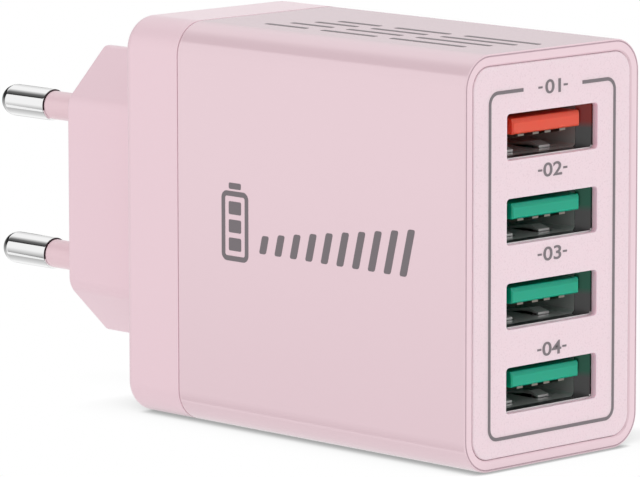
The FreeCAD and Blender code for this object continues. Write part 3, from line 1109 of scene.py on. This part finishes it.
@dataclass
class RearCover(Assembly):
    """Cap that closes the housing, with the six-sided plug nose."""

    corner_radius: float = 4.0 * MM
    corner_steps: int = 14
    cap_depth: float = 9.7 * MM
    cap_edge: float = 1.6 * MM
    cap_steps: int = 7
    nose_half: Pair = (6.85 * MM, 18.0 * MM)
    facet: float = 6.25 * MM
    side_ease: float = 1.04 * MM
    side_steps: int = 6
    tip_ease: float = 0.37 * MM
    end_ease: float = 0.45 * MM
    end_steps: int = 4
    lip_inset: float = 2.05 * MM
    lip_wall: float = 1.0 * MM
    end_wall: float = 2.0 * MM
    nose_wall: float = 1.7 * MM
    tip_wall: float = 3.2 * MM
    finish: Finish = Finishes.PINK_CAP

    def build(self) -> Pieces:
        """Models cap and nose.

        Returns:
            The two in one piece.
        """
        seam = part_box("main_housing")[0].x
        low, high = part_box("rear_cover")
        cap_rear = seam - self.cap_depth
        middle = (low.z + high.z) / 2
        shape = block(Vector((cap_rear, low.y, low.z)), Vector((seam, high.y, high.z)))
        ease(shape, along(shape.edges, 0), self.corner_radius, self.corner_steps)
        ease(shape, across(shape.edges, 0, cap_rear), self.cap_edge, self.cap_steps)
        step_in(
            shape,
            face_looking(shape, 0, 1),
            (self.lip_inset, 0.0),
            (0.0, high.x - seam),
            (self.lip_wall, 0.0),
            (0.0, cap_rear + self.end_wall - high.x),
        )
        depths = (0.0, self.end_wall)
        bore(shape, [self.score_hollow(shape, cap_rear + depth, middle) for depth in depths])
        merge(shape, self.nose(low.x, cap_rear + self.cap_edge, middle))
        bmesh.ops.recalc_face_normals(shape, faces=shape.faces)
        return [make_piece(shape, "rear_cap_and_nose", [self.finish], "rear_cover")]

    def nose(self, x_rear: float, x_root: float, middle: float) -> BMesh:
        """Models the hollow nose.

        Args:
            x_rear: Place of its end, which carries the pins.
            x_root: Where it is rooted in the cap.
            middle: Height of its middle.

        Returns:
            The new mesh.
        """
        half_y, half_z = self.nose_half
        low = Vector((x_rear, -half_y, middle - half_z))
        shape = block(low, Vector((x_root, half_y, middle + half_z)))
        ease(shape, along(shape.edges, 0), self.facet, 1)
        sides = [e for e in along(shape.edges, 0) if abs(e.verts[0].co.y) > half_y - TOUCH]
        ease(shape, sides, self.side_ease, self.side_steps)
        tips = [e for e in along(shape.edges, 0) if abs(e.verts[0].co.z - middle) > half_z - TOUCH]
        ease(shape, tips, self.tip_ease, self.end_steps)
        ease(shape, across(shape.edges, 0, x_rear), self.end_ease, self.end_steps)
        hollow = self.score_hollow(shape, x_root, middle)
        step_in(shape, hollow, (0.0, x_rear + self.end_wall - x_root))
        return shape

    def score_hollow(self, shape: BMesh, x_face: float, middle: float) -> BMFace:
        """Cuts the outline of the nose's hollow into a face square to X.

        Args:
            shape: The mesh.
            x_face: Place of the face.
            middle: Height of the nose's middle.

        Returns:
            The part of the face inside the outline.
        """
        half_y, half_z = self.nose_half
        facet = (half_y + half_z - self.facet) / math.sqrt(2) - self.nose_wall
        reaches = (half_y - self.nose_wall, facet, half_z - self.tip_wall, facet) * 2
        centre = Vector((x_face, 0, middle))
        (face,) = [f for f in shape.faces if len(across(f.edges, 0, x_face)) == len(f.edges)]
        for step, reach in enumerate(reaches):
            angle = step * math.pi / 4
            normal = Vector((0, math.cos(angle), math.sin(angle)))
            halves = cut(shape, centre + normal * reach, normal, face)
            face = min(halves, key=lambda half: (half.calc_center_median() - centre).dot(normal))
        shape.normal_update()
        return face


@dataclass
class PlugPin(Assembly):
    """Round plug pin with its insulating sleeve."""

    which: str
    radius: float = 2.0 * MM
    bare_length: float = 9.0 * MM
    core_radius: float = 1.3 * MM
    bore_radius: float = 1.33 * MM
    end_edge: float = 0.12 * MM
    edge_steps: int = 3
    # Which pin shoulder faces take painted shade: down to this drop below the axis, and facing out
    # this much.
    painted_shade_drop: float = 0.5 * MM
    painted_shade_tilt: float = 0.3
    steps: int = 64

    def build(self) -> Pieces:
        """The pin and its sleeve."""
        node = f"{self.which}_pin"
        return [self.build_pin(node), self.build_sleeve(f"{node}_sleeve")]

    def build_pin(self, node: str) -> bpy.types.Object:
        """Draws half a ball out into the bare pin and its thinner core.

        Args:
            node: The pin's CAD node.

        Returns:
            The piece.
        """
        low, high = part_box(node)
        shoulder = low.x + self.bare_length
        centre = Vector((low.x + self.radius, 0, (low.z + high.z) / 2))
        shape = bmesh.new()
        bmesh.ops.create_uvsphere(
            shape,
            u_segments=self.steps,
            v_segments=self.steps // 2,
            radius=self.radius,
            matrix=Matrix.Translation(centre) @ ALONG_X,
        )
        cut(shape, centre, X_AXIS, clear_outer=True)
        loop = [edge for edge in shape.edges if edge.is_boundary]
        rim = self.draw_out(shape, loop, shoulder, 1.0, centre.z)
        loop = self.draw_out(shape, rim, shoulder, self.core_radius / self.radius, centre.z)
        loop = self.draw_out(shape, loop, high.x, 1.0, centre.z)
        bmesh.ops.contextual_create(shape, geom=loop)
        ease(shape, rim, self.end_edge, self.edge_steps)
        bmesh.ops.recalc_face_normals(shape, faces=shape.faces)
        shape.normal_update()
        # Upper shoulder faces that look out take the dark metal: painted shade in the crevice by
        # the sleeve.
        for face in shape.faces:
            place = face.calc_center_median()
            upper = place.z > centre.z - self.painted_shade_drop
            looks_out = face.normal.x > self.painted_shade_tilt
            if upper and looks_out and abs(place.x - shoulder) < self.end_edge:
                face.material_index = 1
        finishes = [Finishes.BRIGHT_PLATE, Finishes.CREVICE_SHADE]
        return make_piece(shape, f"{self.which}_plated_pin", finishes, node)

    def draw_out(
        self, shape: BMesh, loop: Sequence[BMEdge], x_end: float, share: float, z_axis: float
    ) -> list[BMEdge]:
        """Extrudes a round loop along X and scales its new end.

        Args:
            shape: The mesh.
            loop: Edges of the open end.
            x_end: Where the new end lies.
            share: Radius of the new end as a share of the old one.
            z_axis: Height of the pin's axis.

        Returns:
            Edges of the new end.
        """
        made = bmesh.ops.extrude_edge_only(shape, edges=list(loop))["geom"]
        for vert in made:
            if isinstance(vert, BMVert):
                rise = (vert.co.z - z_axis) * share
                vert.co = Vector((x_end, vert.co.y * share, z_axis + rise))
        return [item for item in made if isinstance(item, BMEdge)]

    def build_sleeve(self, node: str) -> bpy.types.Object:
        """Models the tube round the pin's core.

        Args:
            node: The sleeve's CAD node.

        Returns:
            The piece.
        """
        low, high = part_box(node)
        radius = (high.z - low.z) / 2
        shape = bmesh.new()
        bmesh.ops.create_cone(
            shape,
            cap_ends=True,
            segments=self.steps,
            radius1=radius,
            radius2=radius,
            depth=high.x - low.x,
            matrix=Matrix.Translation((low + high) / 2) @ ALONG_X,
        )
        ease(shape, across(shape.edges, 0, low.x), self.end_edge, self.edge_steps)
        wall = radius - self.bore_radius
        root = step_in(shape, face_looking(shape, 0, 1), (wall, 0.0))
        end = step_in(shape, face_looking(shape, 0, -1), (wall - self.end_edge, 0.0))
        bore(shape, [root, end])
        name = f"{self.which}_pin_insulation"
        return make_piece(shape, name, [Finishes.PINK_SLEEVE], node)


@dataclass
class ChargePort(Assembly):
    """One socket: steel shell and contacts as in the frame, tongue with eased edges."""

    number: int
    tongue: Finish
    slot: Slot
    # Colour of the tongue's reflection, painted on the shell's mouth.
    painted_reflection: Colour
    tongue_low: float = 0.05 * MM
    tongue_half_width: float = 5.65 * MM
    tongue_thickness: float = 1.84 * MM
    slope: Pair = (0.3 * MM, 0.55 * MM)
    chamfer: float = 0.2 * MM
    highlight: float = 0.05 * MM
    highlight_steps: int = 2
    highlight_angle: float = 0.3
    block_length: float = 2.0 * MM
    block_corner: float = 0.35 * MM
    block_steps: int = 3
    # Height above the shell's floor under which its cut edge is painted bright: a painted
    # highlight.
    painted_highlight_height: float = 0.5 * MM

    def build(self) -> Pieces:
        """Dresses the metal and models the insulator.

        Returns:
            Shell, contacts and insulator.
        """
        node = f"usb_insulator_{self.number}"
        shell = f"usb_shell_{self.number}"
        low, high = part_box(node)
        tongue_low = (low.z + high.z) / 2 + self.tongue_low
        # The shell's steel takes painted shade, the tongue's painted reflection and a painted
        # highlight at its mouth.
        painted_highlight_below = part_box(shell)[0].z + self.painted_highlight_height
        steel = Finishes.socket_steel(self.number, self.painted_reflection, tongue_low, painted_highlight_below)
        shape = self.insulator(low, high, tongue_low)
        name = f"socket_tongue_{self.number}"
        return [
            dress(shell, steel),
            dress(f"usb_contacts_{self.number}", Finishes.CONTACT_PLATE),
            make_piece(shape, name, [self.tongue], node),
        ]

    def insulator(self, low: Vector, high: Vector, tongue_low: float) -> BMesh:
        """Models the rear block and the tongue with its slope.

        Args:
            low: Lowest corner of the insulator.
            high: Its highest corner.
            tongue_low: Height of the tongue's underside.

        Returns:
            The new mesh.
        """
        shape = block(low, Vector((low.x + self.block_length, high.y, high.z)))
        ease(shape, along(shape.edges, 0), self.block_corner, self.block_steps)
        tongue_top = tongue_low + self.tongue_thickness
        root = low.x + self.block_length / 2
        edges = add_block(
            shape,
            Vector((root, -self.tongue_half_width, tongue_low)),
            Vector((high.x, self.tongue_half_width, tongue_top)),
        )
        depth, height = self.slope
        ease(shape, across(across(edges, 0, high.x), 2, tongue_top), height, 1)
        for vert in shape.verts:
            on_top = abs(vert.co.z - tongue_top) < TOUCH
            if on_top and abs(vert.co.x - high.x + height) < TOUCH:
                vert.co.x = high.x - depth
        ridge = across(shape.edges, 2, tongue_top - height)
        ends = [edge for edge in across(shape.edges, 0, high.x) if edge not in ridge]
        ease(shape, ends, self.chamfer, 1)
        bent = [e for e in shape.edges if e.calc_face_angle(0.0) > self.highlight_angle]
        near = high.x - 2 * height
        lines = [edge for edge in bent if max(vert.co.x for vert in edge.verts) > near]
        ease(shape, lines, self.highlight, self.highlight_steps)
        return shape


@dataclass
class Print(Assembly):
    """Grey print: thin fields whose outsides are level with the faces of the CAD solids."""

    finish: Finish = Finishes.PRINT_GREY

    def lay(
        self, parts: Sequence[tuple[BMesh, Vector]], name: str, face: Face, place: Vector
    ) -> bpy.types.Object:
        """Joins flat drawings, gives them their thickness and lays them on a face.

        Args:
            parts: Drawings in the XY plane, which are used up, and where each is moved.
            name: Name of the piece.
            face: Face that carries it.
            place: Where the drawings' origin goes.

        Returns:
            The piece.
        """
        joined = bmesh.new()
        for drawing, shift in parts:
            bmesh.ops.translate(drawing, vec=shift, verts=drawing.verts)
            merge(joined, drawing)
        bmesh.ops.remove_doubles(joined, verts=joined.verts, dist=CUT)
        made = bmesh.ops.extrude_face_region(joined, geom=list(joined.faces))["geom"]
        sunk = [item for item in made if isinstance(item, BMVert)]
        bmesh.ops.translate(joined, vec=Z_AXIS * -INK, verts=sunk)
        bmesh.ops.recalc_face_normals(joined, faces=joined.faces)
        bmesh.ops.transform(joined, matrix=laid(face.value, place), verts=joined.verts)
        return make_piece(joined, name, [self.finish])


@dataclass
class PanelPrint(Print):
    """Frame line round the sockets, open at the top, and a number over each socket."""

    line: float = 0.42 * MM
    frame_half_width: float = 10.67 * MM
    frame_ends: Pair = (3.48 * MM, 44.12 * MM)
    frame_radius: float = 1.5 * MM
    gap_half: float = 4.95 * MM
    label_heights: tuple[float, ...] = (43.92 * MM, 34.27 * MM, 24.45 * MM, 13.28 * MM)
    cap_height: float = 1.65 * MM
    weight: float = 0.016
    widen: float = 1.45
    curve_steps: int = 6
    dash: Pair = (0.7 * MM, 0.24 * MM)
    dash_place: float = 2.12 * MM

    def build(self) -> Pieces:
        """Lays the print on the panel.

        Returns:
            The frame line and the numbers.
        """
        x_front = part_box("front_panel")[1].x
        low, high = self.frame_ends
        line = outline(2 * self.frame_half_width, high - low, self.frame_radius, self.line)
        for side in SIDES:
            cut(line, X_AXIS * side * self.gap_half, X_AXIS)
        top = [face for face in line.faces if face.calc_center_median().y > 0]
        gap = [face for face in top if abs(face.calc_center_median().x) < self.gap_half]
        bmesh.ops.delete(line, geom=gap, context="FACES")
        place = Vector((x_front, 0, (low + high) / 2))
        made = [self.lay([(line, Vector())], "frame_line", Face.FRONT, place)]
        for number, height in enumerate(self.label_heights, 1):
            parts = [(self.digits(f"{number:02d}"), Vector())]
            parts += [(plate(*self.dash), X_AXIS * side * self.dash_place) for side in SIDES]
            place = Vector((x_front, 0, height))
            made.append(self.lay(parts, f"socket_number_{number}", Face.FRONT, place))
        return made

    def digits(self, text: str) -> BMesh:
        """Plain number, centred on the origin.

        Args:
            text: Digits to set.

        Returns:
            The drawing.
        """
        curve = bpy.data.curves.new("digits", "FONT")
        curve.body = text
        curve.resolution_u = self.curve_steps
        curve.offset = self.weight
        setting = bpy.data.objects.new("digits", curve)
        mesh = bpy.data.meshes.new_from_object(setting)
        shape = bmesh.new()
        shape.from_mesh(mesh)
        bpy.data.objects.remove(setting)
        bpy.data.curves.remove(curve)
        bpy.data.meshes.remove(mesh)
        low, high = (
            Vector(pick(vert.co[axis] for vert in shape.verts) for axis in range(3))
            for pick in (min, max)
        )
        scale = self.cap_height / (high.y - low.y)
        bmesh.ops.translate(shape, vec=-(low + high) / 2, verts=shape.verts)
        bmesh.ops.scale(shape, vec=Vector((scale * self.widen, scale, scale)), verts=shape.verts)
        return shape


@dataclass
class SidePrint(Print):
    """Battery sign and a row of slanted bars that rise like a level meter."""

    middle: float = 25.0 * MM
    battery_size: Pair = (4.6 * MM, 8.4 * MM)
    battery_radius: float = 0.9 * MM
    battery_line: float = 0.62 * MM
    battery_from_front: float = 38.0 * MM
    knob_size: Pair = (2.07 * MM, 0.75 * MM)
    knob_rise: float = 0.62 * MM
    cells: int = 3
    cell_radius: float = 0.2 * MM
    bars: int = 10
    bar_width: float = 1.15 * MM
    bar_radius: float = 0.3 * MM
    bar_pitch: float = 2.6 * MM
    bar_heights: Pair = (2.2 * MM, 5.6 * MM)
    bars_from_front: float = 32.6 * MM
    slant: float = 0.25

    def build(self) -> Pieces:
        """Lays the print on the long side that the photograph shows.

        Returns:
            The battery sign and the bars.
        """
        low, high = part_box("main_housing")
        x_sign = high.x - self.battery_from_front
        x_bars = high.x - self.bars_from_front
        sign_at, bars_at = (Vector((x, low.y, self.middle)) for x in (x_sign, x_bars))
        return [
            self.lay(self.battery(), "battery_sign", Face.SIDE, sign_at),
            self.lay(self.level_bars(), "level_bars", Face.SIDE, bars_at),
        ]

    def battery(self) -> list[tuple[BMesh, Vector]]:
        """Draws the case, the knob and the cells of the battery.

        Returns:
            The drawings and their places.
        """
        width, height = self.battery_size
        line = self.battery_line
        case = outline(width, height, self.battery_radius, line)
        knob = plate(*self.knob_size, self.cell_radius)
        parts = [(case, Vector()), (knob, Y_AXIS * (height / 2 + self.knob_rise))]
        cell = (height - 2 * self.cells * line) / self.cells
        for row in range(self.cells):
            drawing = plate(width - 4 * line, cell, self.cell_radius)
            parts.append((drawing, Y_AXIS * (row - (self.cells - 1) / 2) * (cell + line)))
        return parts

    def level_bars(self) -> list[tuple[BMesh, Vector]]:
        """Draws the bars, which stand on one line.

        Returns:
            The drawings and their places.
        """
        slant = Matrix.Identity(4)
        slant[0][1] = self.slant
        first, last = self.bar_heights
        parts = []
        for number in range(self.bars):
            tall = first + (last - first) * number / (self.bars - 1)
            bar = plate(self.bar_width, tall, self.bar_radius)
            bmesh.ops.transform(bar, matrix=slant, verts=bar.verts)
            rise = (tall - last) / 2
            parts.append((bar, Vector((number * self.bar_pitch + self.slant * rise, rise, 0))))
        return parts


@dataclass
class TopPrint(Print):
    """Rows of fine plain rules on the top."""

    rows: tuple[float, ...] = (-7.4 * MM, -4.6 * MM, -2.0 * MM, 0.4 * MM)
    row_height: float = 0.8 * MM
    row_radius: float = 0.2 * MM
    rules: tuple[Pair, ...] = ((8.0 * MM, 7.0 * MM), (17.5 * MM, 9.0 * MM), (29.0 * MM, 12.0 * MM))
    step: float = 1.5 * MM

    def build(self) -> Pieces:
        """Lays the rules on the top face, each row a step further along.

        Returns:
            The rules in one piece.
        """
        low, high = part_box("main_housing")
        parts = []
        for number, row in enumerate(self.rows):
            for start, length in self.rules:
                middle = start + length / 2 + number * self.step
                drawing = plate(length, self.row_height, self.row_radius)
                parts.append((drawing, Vector((middle, row, 0))))
        return [self.lay(parts, "top_rules", Face.TOP, Vector((low.x, 0, high.z)))]


@dataclass
class InnerParts(Assembly):
    """Pieces inside the closed body, which keep the frame's solids."""

    finishes: tuple[tuple[Finish, tuple[str, ...]], ...] = (
        (Finishes.LAMINATE, ("usb_board", "power_board")),
        (Finishes.CONTACT_PLATE, ("upper_pin_lead", "lower_pin_lead")),
        (Finishes.FERRITE, ("transformer_core", "choke")),
        (Finishes.YELLOW_TAPE, ("transformer_winding",)),
        (Finishes.BLUE_DIP, ("y_capacitor",)),
        (Finishes.FUSE_COAT, ("fuse_resistor",)),
        (Finishes.SHRINK_BLACK, ("bulk_capacitor_1", "bulk_capacitor_2")),
        (Finishes.SHRINK_BLACK, ("output_capacitor_1", "output_capacitor_2")),
        (Finishes.BLACK_RESIN, ("transformer_bobbin", "bridge_rectifier", "optocoupler")),
        (Finishes.BLACK_RESIN, ("control_chip", "fast_charge_chip")),
    )

    def build(self) -> Pieces:
        """The boards and their components, dressed."""
        return [dress(node, finish) for finish, nodes in self.finishes for node in nodes]


def seen_rays(tree: Tree) -> Socket:
    """Value that is 1 for camera, glossy and transmission rays.

    Args:
        tree: Node tree that gets the nodes.

    Returns:
        The value.
    """
    path = add_node(tree, "ShaderNodeLightPath", {}).outputs
    seen = maths(tree, "MAXIMUM", path["Is Camera Ray"], path["Is Glossy Ray"])
    return maths(tree, "MAXIMUM", seen, path["Is Transmission Ray"])


@dataclass(frozen=True)
class FloorShadow:
    """Shadow on the floor: its reach, how fast it falls off, its strength, and how it leans."""

    reach: float
    fall: float
    gain: float
    lean: Triple
    samples: int = 16

    def add(self, tree: Tree) -> Socket:
        """Adds the nodes that find how much of the sky the charger covers.

        Args:
            tree: Node tree of the floor's material.

        Returns:
            The shadow's strength, 0 out in the open.
        """
        lean = add_node(tree, "ShaderNodeCombineXYZ", dict(enumerate(self.lean)))
        feeds = {"Distance": self.reach, "Normal": lean.outputs["Vector"]}
        sky = add_node(tree, "ShaderNodeAmbientOcclusion", feeds, samples=self.samples)
        cover = maths(tree, "SUBTRACT", 1.0, sky.outputs["AO"])
        return maths(tree, "MULTIPLY", maths(tree, "POWER", cover, self.fall), self.gain)


@dataclass(frozen=True)
class Lamp:
    """Square soft lamp that looks at the charger: its place, the length of its sides, its watts."""

    name: str
    place: Triple
    size: float
    power: float

    def hang(self) -> None:
        """Makes the lamp, which reflections don't see."""
        light = bpy.data.lights.new(self.name, "AREA")
        light.shape = "SQUARE"
        light.size = self.size
        light.energy = self.power
        hung = bpy.data.objects.new(self.name, light)
        hung.location = self.place
        hung.rotation_mode = "QUATERNION"
        hung.rotation_quaternion = (-Vector(self.place)).to_track_quat("-Z", "Y")
        hung.visible_glossy = False
        bpy.context.scene.collection.objects.link(hung)


@dataclass(frozen=True)
class Card:
    """Four-cornered card that only reflections see.

    The foot is the middle of its first edge, the run goes along that edge from end to end, and
    the rise leads to the edge opposite. The tones of the two edges are 1 for white.
    """

    name: str
    foot: Triple
    run: Triple
    rise: Triple
    tones: Pair

    def build(self) -> None:
        """Makes the card."""
        foot, run, rise = Vector(self.foot), Vector(self.run), Vector(self.rise)
        shape = plate(1.0, 1.0)
        bmesh.ops.translate(shape, vec=Y_AXIS / 2, verts=shape.verts)
        turned = laid((run, rise, run.cross(rise)), foot)
        bmesh.ops.transform(shape, matrix=turned, verts=shape.verts)
        material = bpy.data.materials.new(self.name)
        material.use_nodes = True
        tree = material.node_tree
        where = add_node(tree, "ShaderNodeTexCoord", {}).outputs["Object"]
        feeds = {0: where, 1: rise / rise.length_squared}
        climb = add_node(tree, "ShaderNodeVectorMath", feeds, operation="DOT_PRODUCT")
        begin = foot.dot(rise) / rise.length_squared
        share = maths(tree, "SUBTRACT", climb.outputs["Value"], begin)
        glow = add_node(tree, "ShaderNodeEmission", {"Strength": between(tree, share, *self.tones)})
        feed(tree.nodes["Material Output"], {"Surface": glow.outputs["Emission"]})
        made = make_object(shape, self.name, [material])
        for ray in ("camera", "diffuse", "transmission", "shadow"):
            setattr(made, f"visible_{ray}", False)


@dataclass
class Studio:
    """White studio: floor, world, soft lamps, cards for the reflections, and the camera."""

    image_width: int = 640
    focal_pixels: float = 5558.9
    sensor: float = 36.0
    clip: Pair = (0.05, 50.0)
    stand: Triple = (483.43 * MM, -463.52 * MM, 124.64 * MM)
    azimuth: float = math.radians(45.650)
    elevation: float = math.radians(8.807)
    roll: float = math.radians(-0.089)
    ambient: float = 0.83
    floor_size: float = 6.0
    floor_tone: float = 0.92
    floor_roughness: float = 0.9
    floor_bounce: float = 0.85
    shadow_tone: float = 0.37
    shadows: tuple[FloorShadow, ...] = (
        FloorShadow(1.1 * MM, 1.0, 1.5, (-0.85, 0.0, 0.53)),
        FloorShadow(3.0 * MM, 3.5, 0.9, (0.0, 0.0, 1.0)),
        FloorShadow(9.0 * MM, 1.5, 1.8, (0.7, -0.7, 0.14)),
    )
    lamps: tuple[Lamp, ...] = (
        Lamp("front_lamp", (1.1, 0.55, 0.45), 0.8, 2.8),
        Lamp("side_lamp", (-0.4, -1.2, 0.62), 1.0, 3.0),
        Lamp("edge_lamp", (0.5, 1.2, 0.06), 0.5, 3.5),
    )
    cards: tuple[Card, ...] = (
        Card("dark_card", (-0.35, -0.318, 0.33), (1.7, 0, 0), (0, 0.17, 0.07), (0.0, 0.18)),
        Card("fade_card", (-0.35, -0.148, 0.4), (1.7, 0, 0), (0, 0.17, 0.07), (0.18, 1.0)),
        Card("base_card", (-0.06, -0.086, -0.08), (0.2, 0, 0), (0, 0, 0.1), (0.0, 1.0)),
        Card("grey_card", (-0.35, -0.24, -0.32), (1.7, 0, 0), (0, 0.42, -0.09), (0.5, 0.95)),
        Card("pale_card", (-0.5, 0.5, 0.09), (0.3, 0.3, 0), (0, 0, 0.45), (0.65, 1.0)),
        Card("plug_card_low", (-0.65, 0.105, -0.3), (0, 0.89, 0), (0, 0, 0.42), (0.7, 0.03)),
        Card("plug_card_high", (-0.65, 0.105, 0.12), (0, 0.89, 0), (0, 0, 0.24), (0.03, 0.02)),
    )

    def build(self) -> None:
        """Sets up the whole studio."""
        scene = bpy.context.scene
        scene.view_settings.view_transform = "Standard"
        scene.world = self.build_world()
        self.build_floor()
        for lamp in self.lamps:
            lamp.hang()
        for card in self.cards:
            card.build()
        scene.camera = self.build_camera()

    def build_world(self) -> bpy.types.World:
        """White to the camera and in reflections, a little dimmer as a light.

        Returns:
            The world.
        """
        world = bpy.data.worlds.new("white_room")
        world.use_nodes = True
        tree = world.node_tree
        strength = between(tree, seen_rays(tree), self.ambient, 1.0)
        feed(tree.nodes["Background"], {"Color": (1, 1, 1, 1), "Strength": strength})
        return world

    def build_floor(self) -> None:
        """White floor that darkens only close under the charger."""
        shape = plate(self.floor_size, self.floor_size)
        bmesh.ops.translate(shape, vec=Z_AXIS * (cad_low.z - TOUCH), verts=shape.verts)
        material = bpy.data.materials.new("white_floor")
        material.use_nodes = True
        tree = material.node_tree
        shader = tree.nodes["Principled BSDF"]
        feeds = {
            "Base Color": rgba((self.floor_tone,) * 3),
            "Roughness": self.floor_roughness,
            "Specular IOR Level": 0.0,
        }
        feed(shader, feeds)
        darkest, *others = [shadow.add(tree) for shadow in self.shadows]
        for shadow in others:
            darkest = maths(tree, "MAXIMUM", darkest, shadow)
        level = between(tree, darkest, 1.0, self.shadow_tone)
        feeds = {
            "Fac": between(tree, seen_rays(tree), self.floor_bounce, 1.0),
            1: shader.outputs["BSDF"],
            2: add_node(tree, "ShaderNodeEmission", {"Strength": level}).outputs["Emission"],
        }
        mix = add_node(tree, "ShaderNodeMixShader", feeds)
        feed(tree.nodes["Material Output"], {"Surface": mix.outputs["Shader"]})
        floor = make_object(shape, "floor", [material])
        floor.visible_glossy = False

    def build_camera(self) -> bpy.types.Object:
        """Long-lens camera at the photograph's place.

        Returns:
            The camera.
        """
        lens = bpy.data.cameras.new("camera")
        lens.sensor_fit = "HORIZONTAL"
        lens.sensor_width = self.sensor
        lens.lens = self.focal_pixels / self.image_width * self.sensor
        lens.clip_start, lens.clip_end = self.clip
        camera = bpy.data.objects.new("camera", lens)
        camera.matrix_world = (
            Matrix.Translation(self.stand)
            @ Matrix.Rotation(self.azimuth, 4, "Z")
            @ Matrix.Rotation(math.pi / 2 - self.elevation, 4, "X")
            @ Matrix.Rotation(self.roll, 4, "Z")
        )
        bpy.context.scene.collection.objects.link(camera)
        return camera


def main() -> None:
    """Builds the charger's pieces in order and reports each, then sets the studio round them."""
    logging.basicConfig(level=logging.INFO, format="%(name)s: %(message)s")
    assemblies: list[Assembly] = [
        Housing(),
        SocketPanel(),
        RearCover(),
        PlugPin("upper"),
        PlugPin("lower"),
        ChargePort(1, Finishes.ORANGE, Slot.ORANGE, Finishes.RED_PAINTED_REFLECTION),
        *(ChargePort(n, Finishes.GREEN, Slot.GREEN, Finishes.GREEN_PAINTED_REFLECTION) for n in (2, 3, 4)),
        PanelPrint(),
        SidePrint(),
        TopPrint(),
        InnerParts(),
    ]
    for assembly in assemblies:
        for piece in assembly.build():
            mesh = piece.data
            LOG.info("%s: %d faces, %s", piece.name, len(mesh.polygons), mesh.materials[0].name)
    Studio().build()


if __name__ == "__main__":
    main()
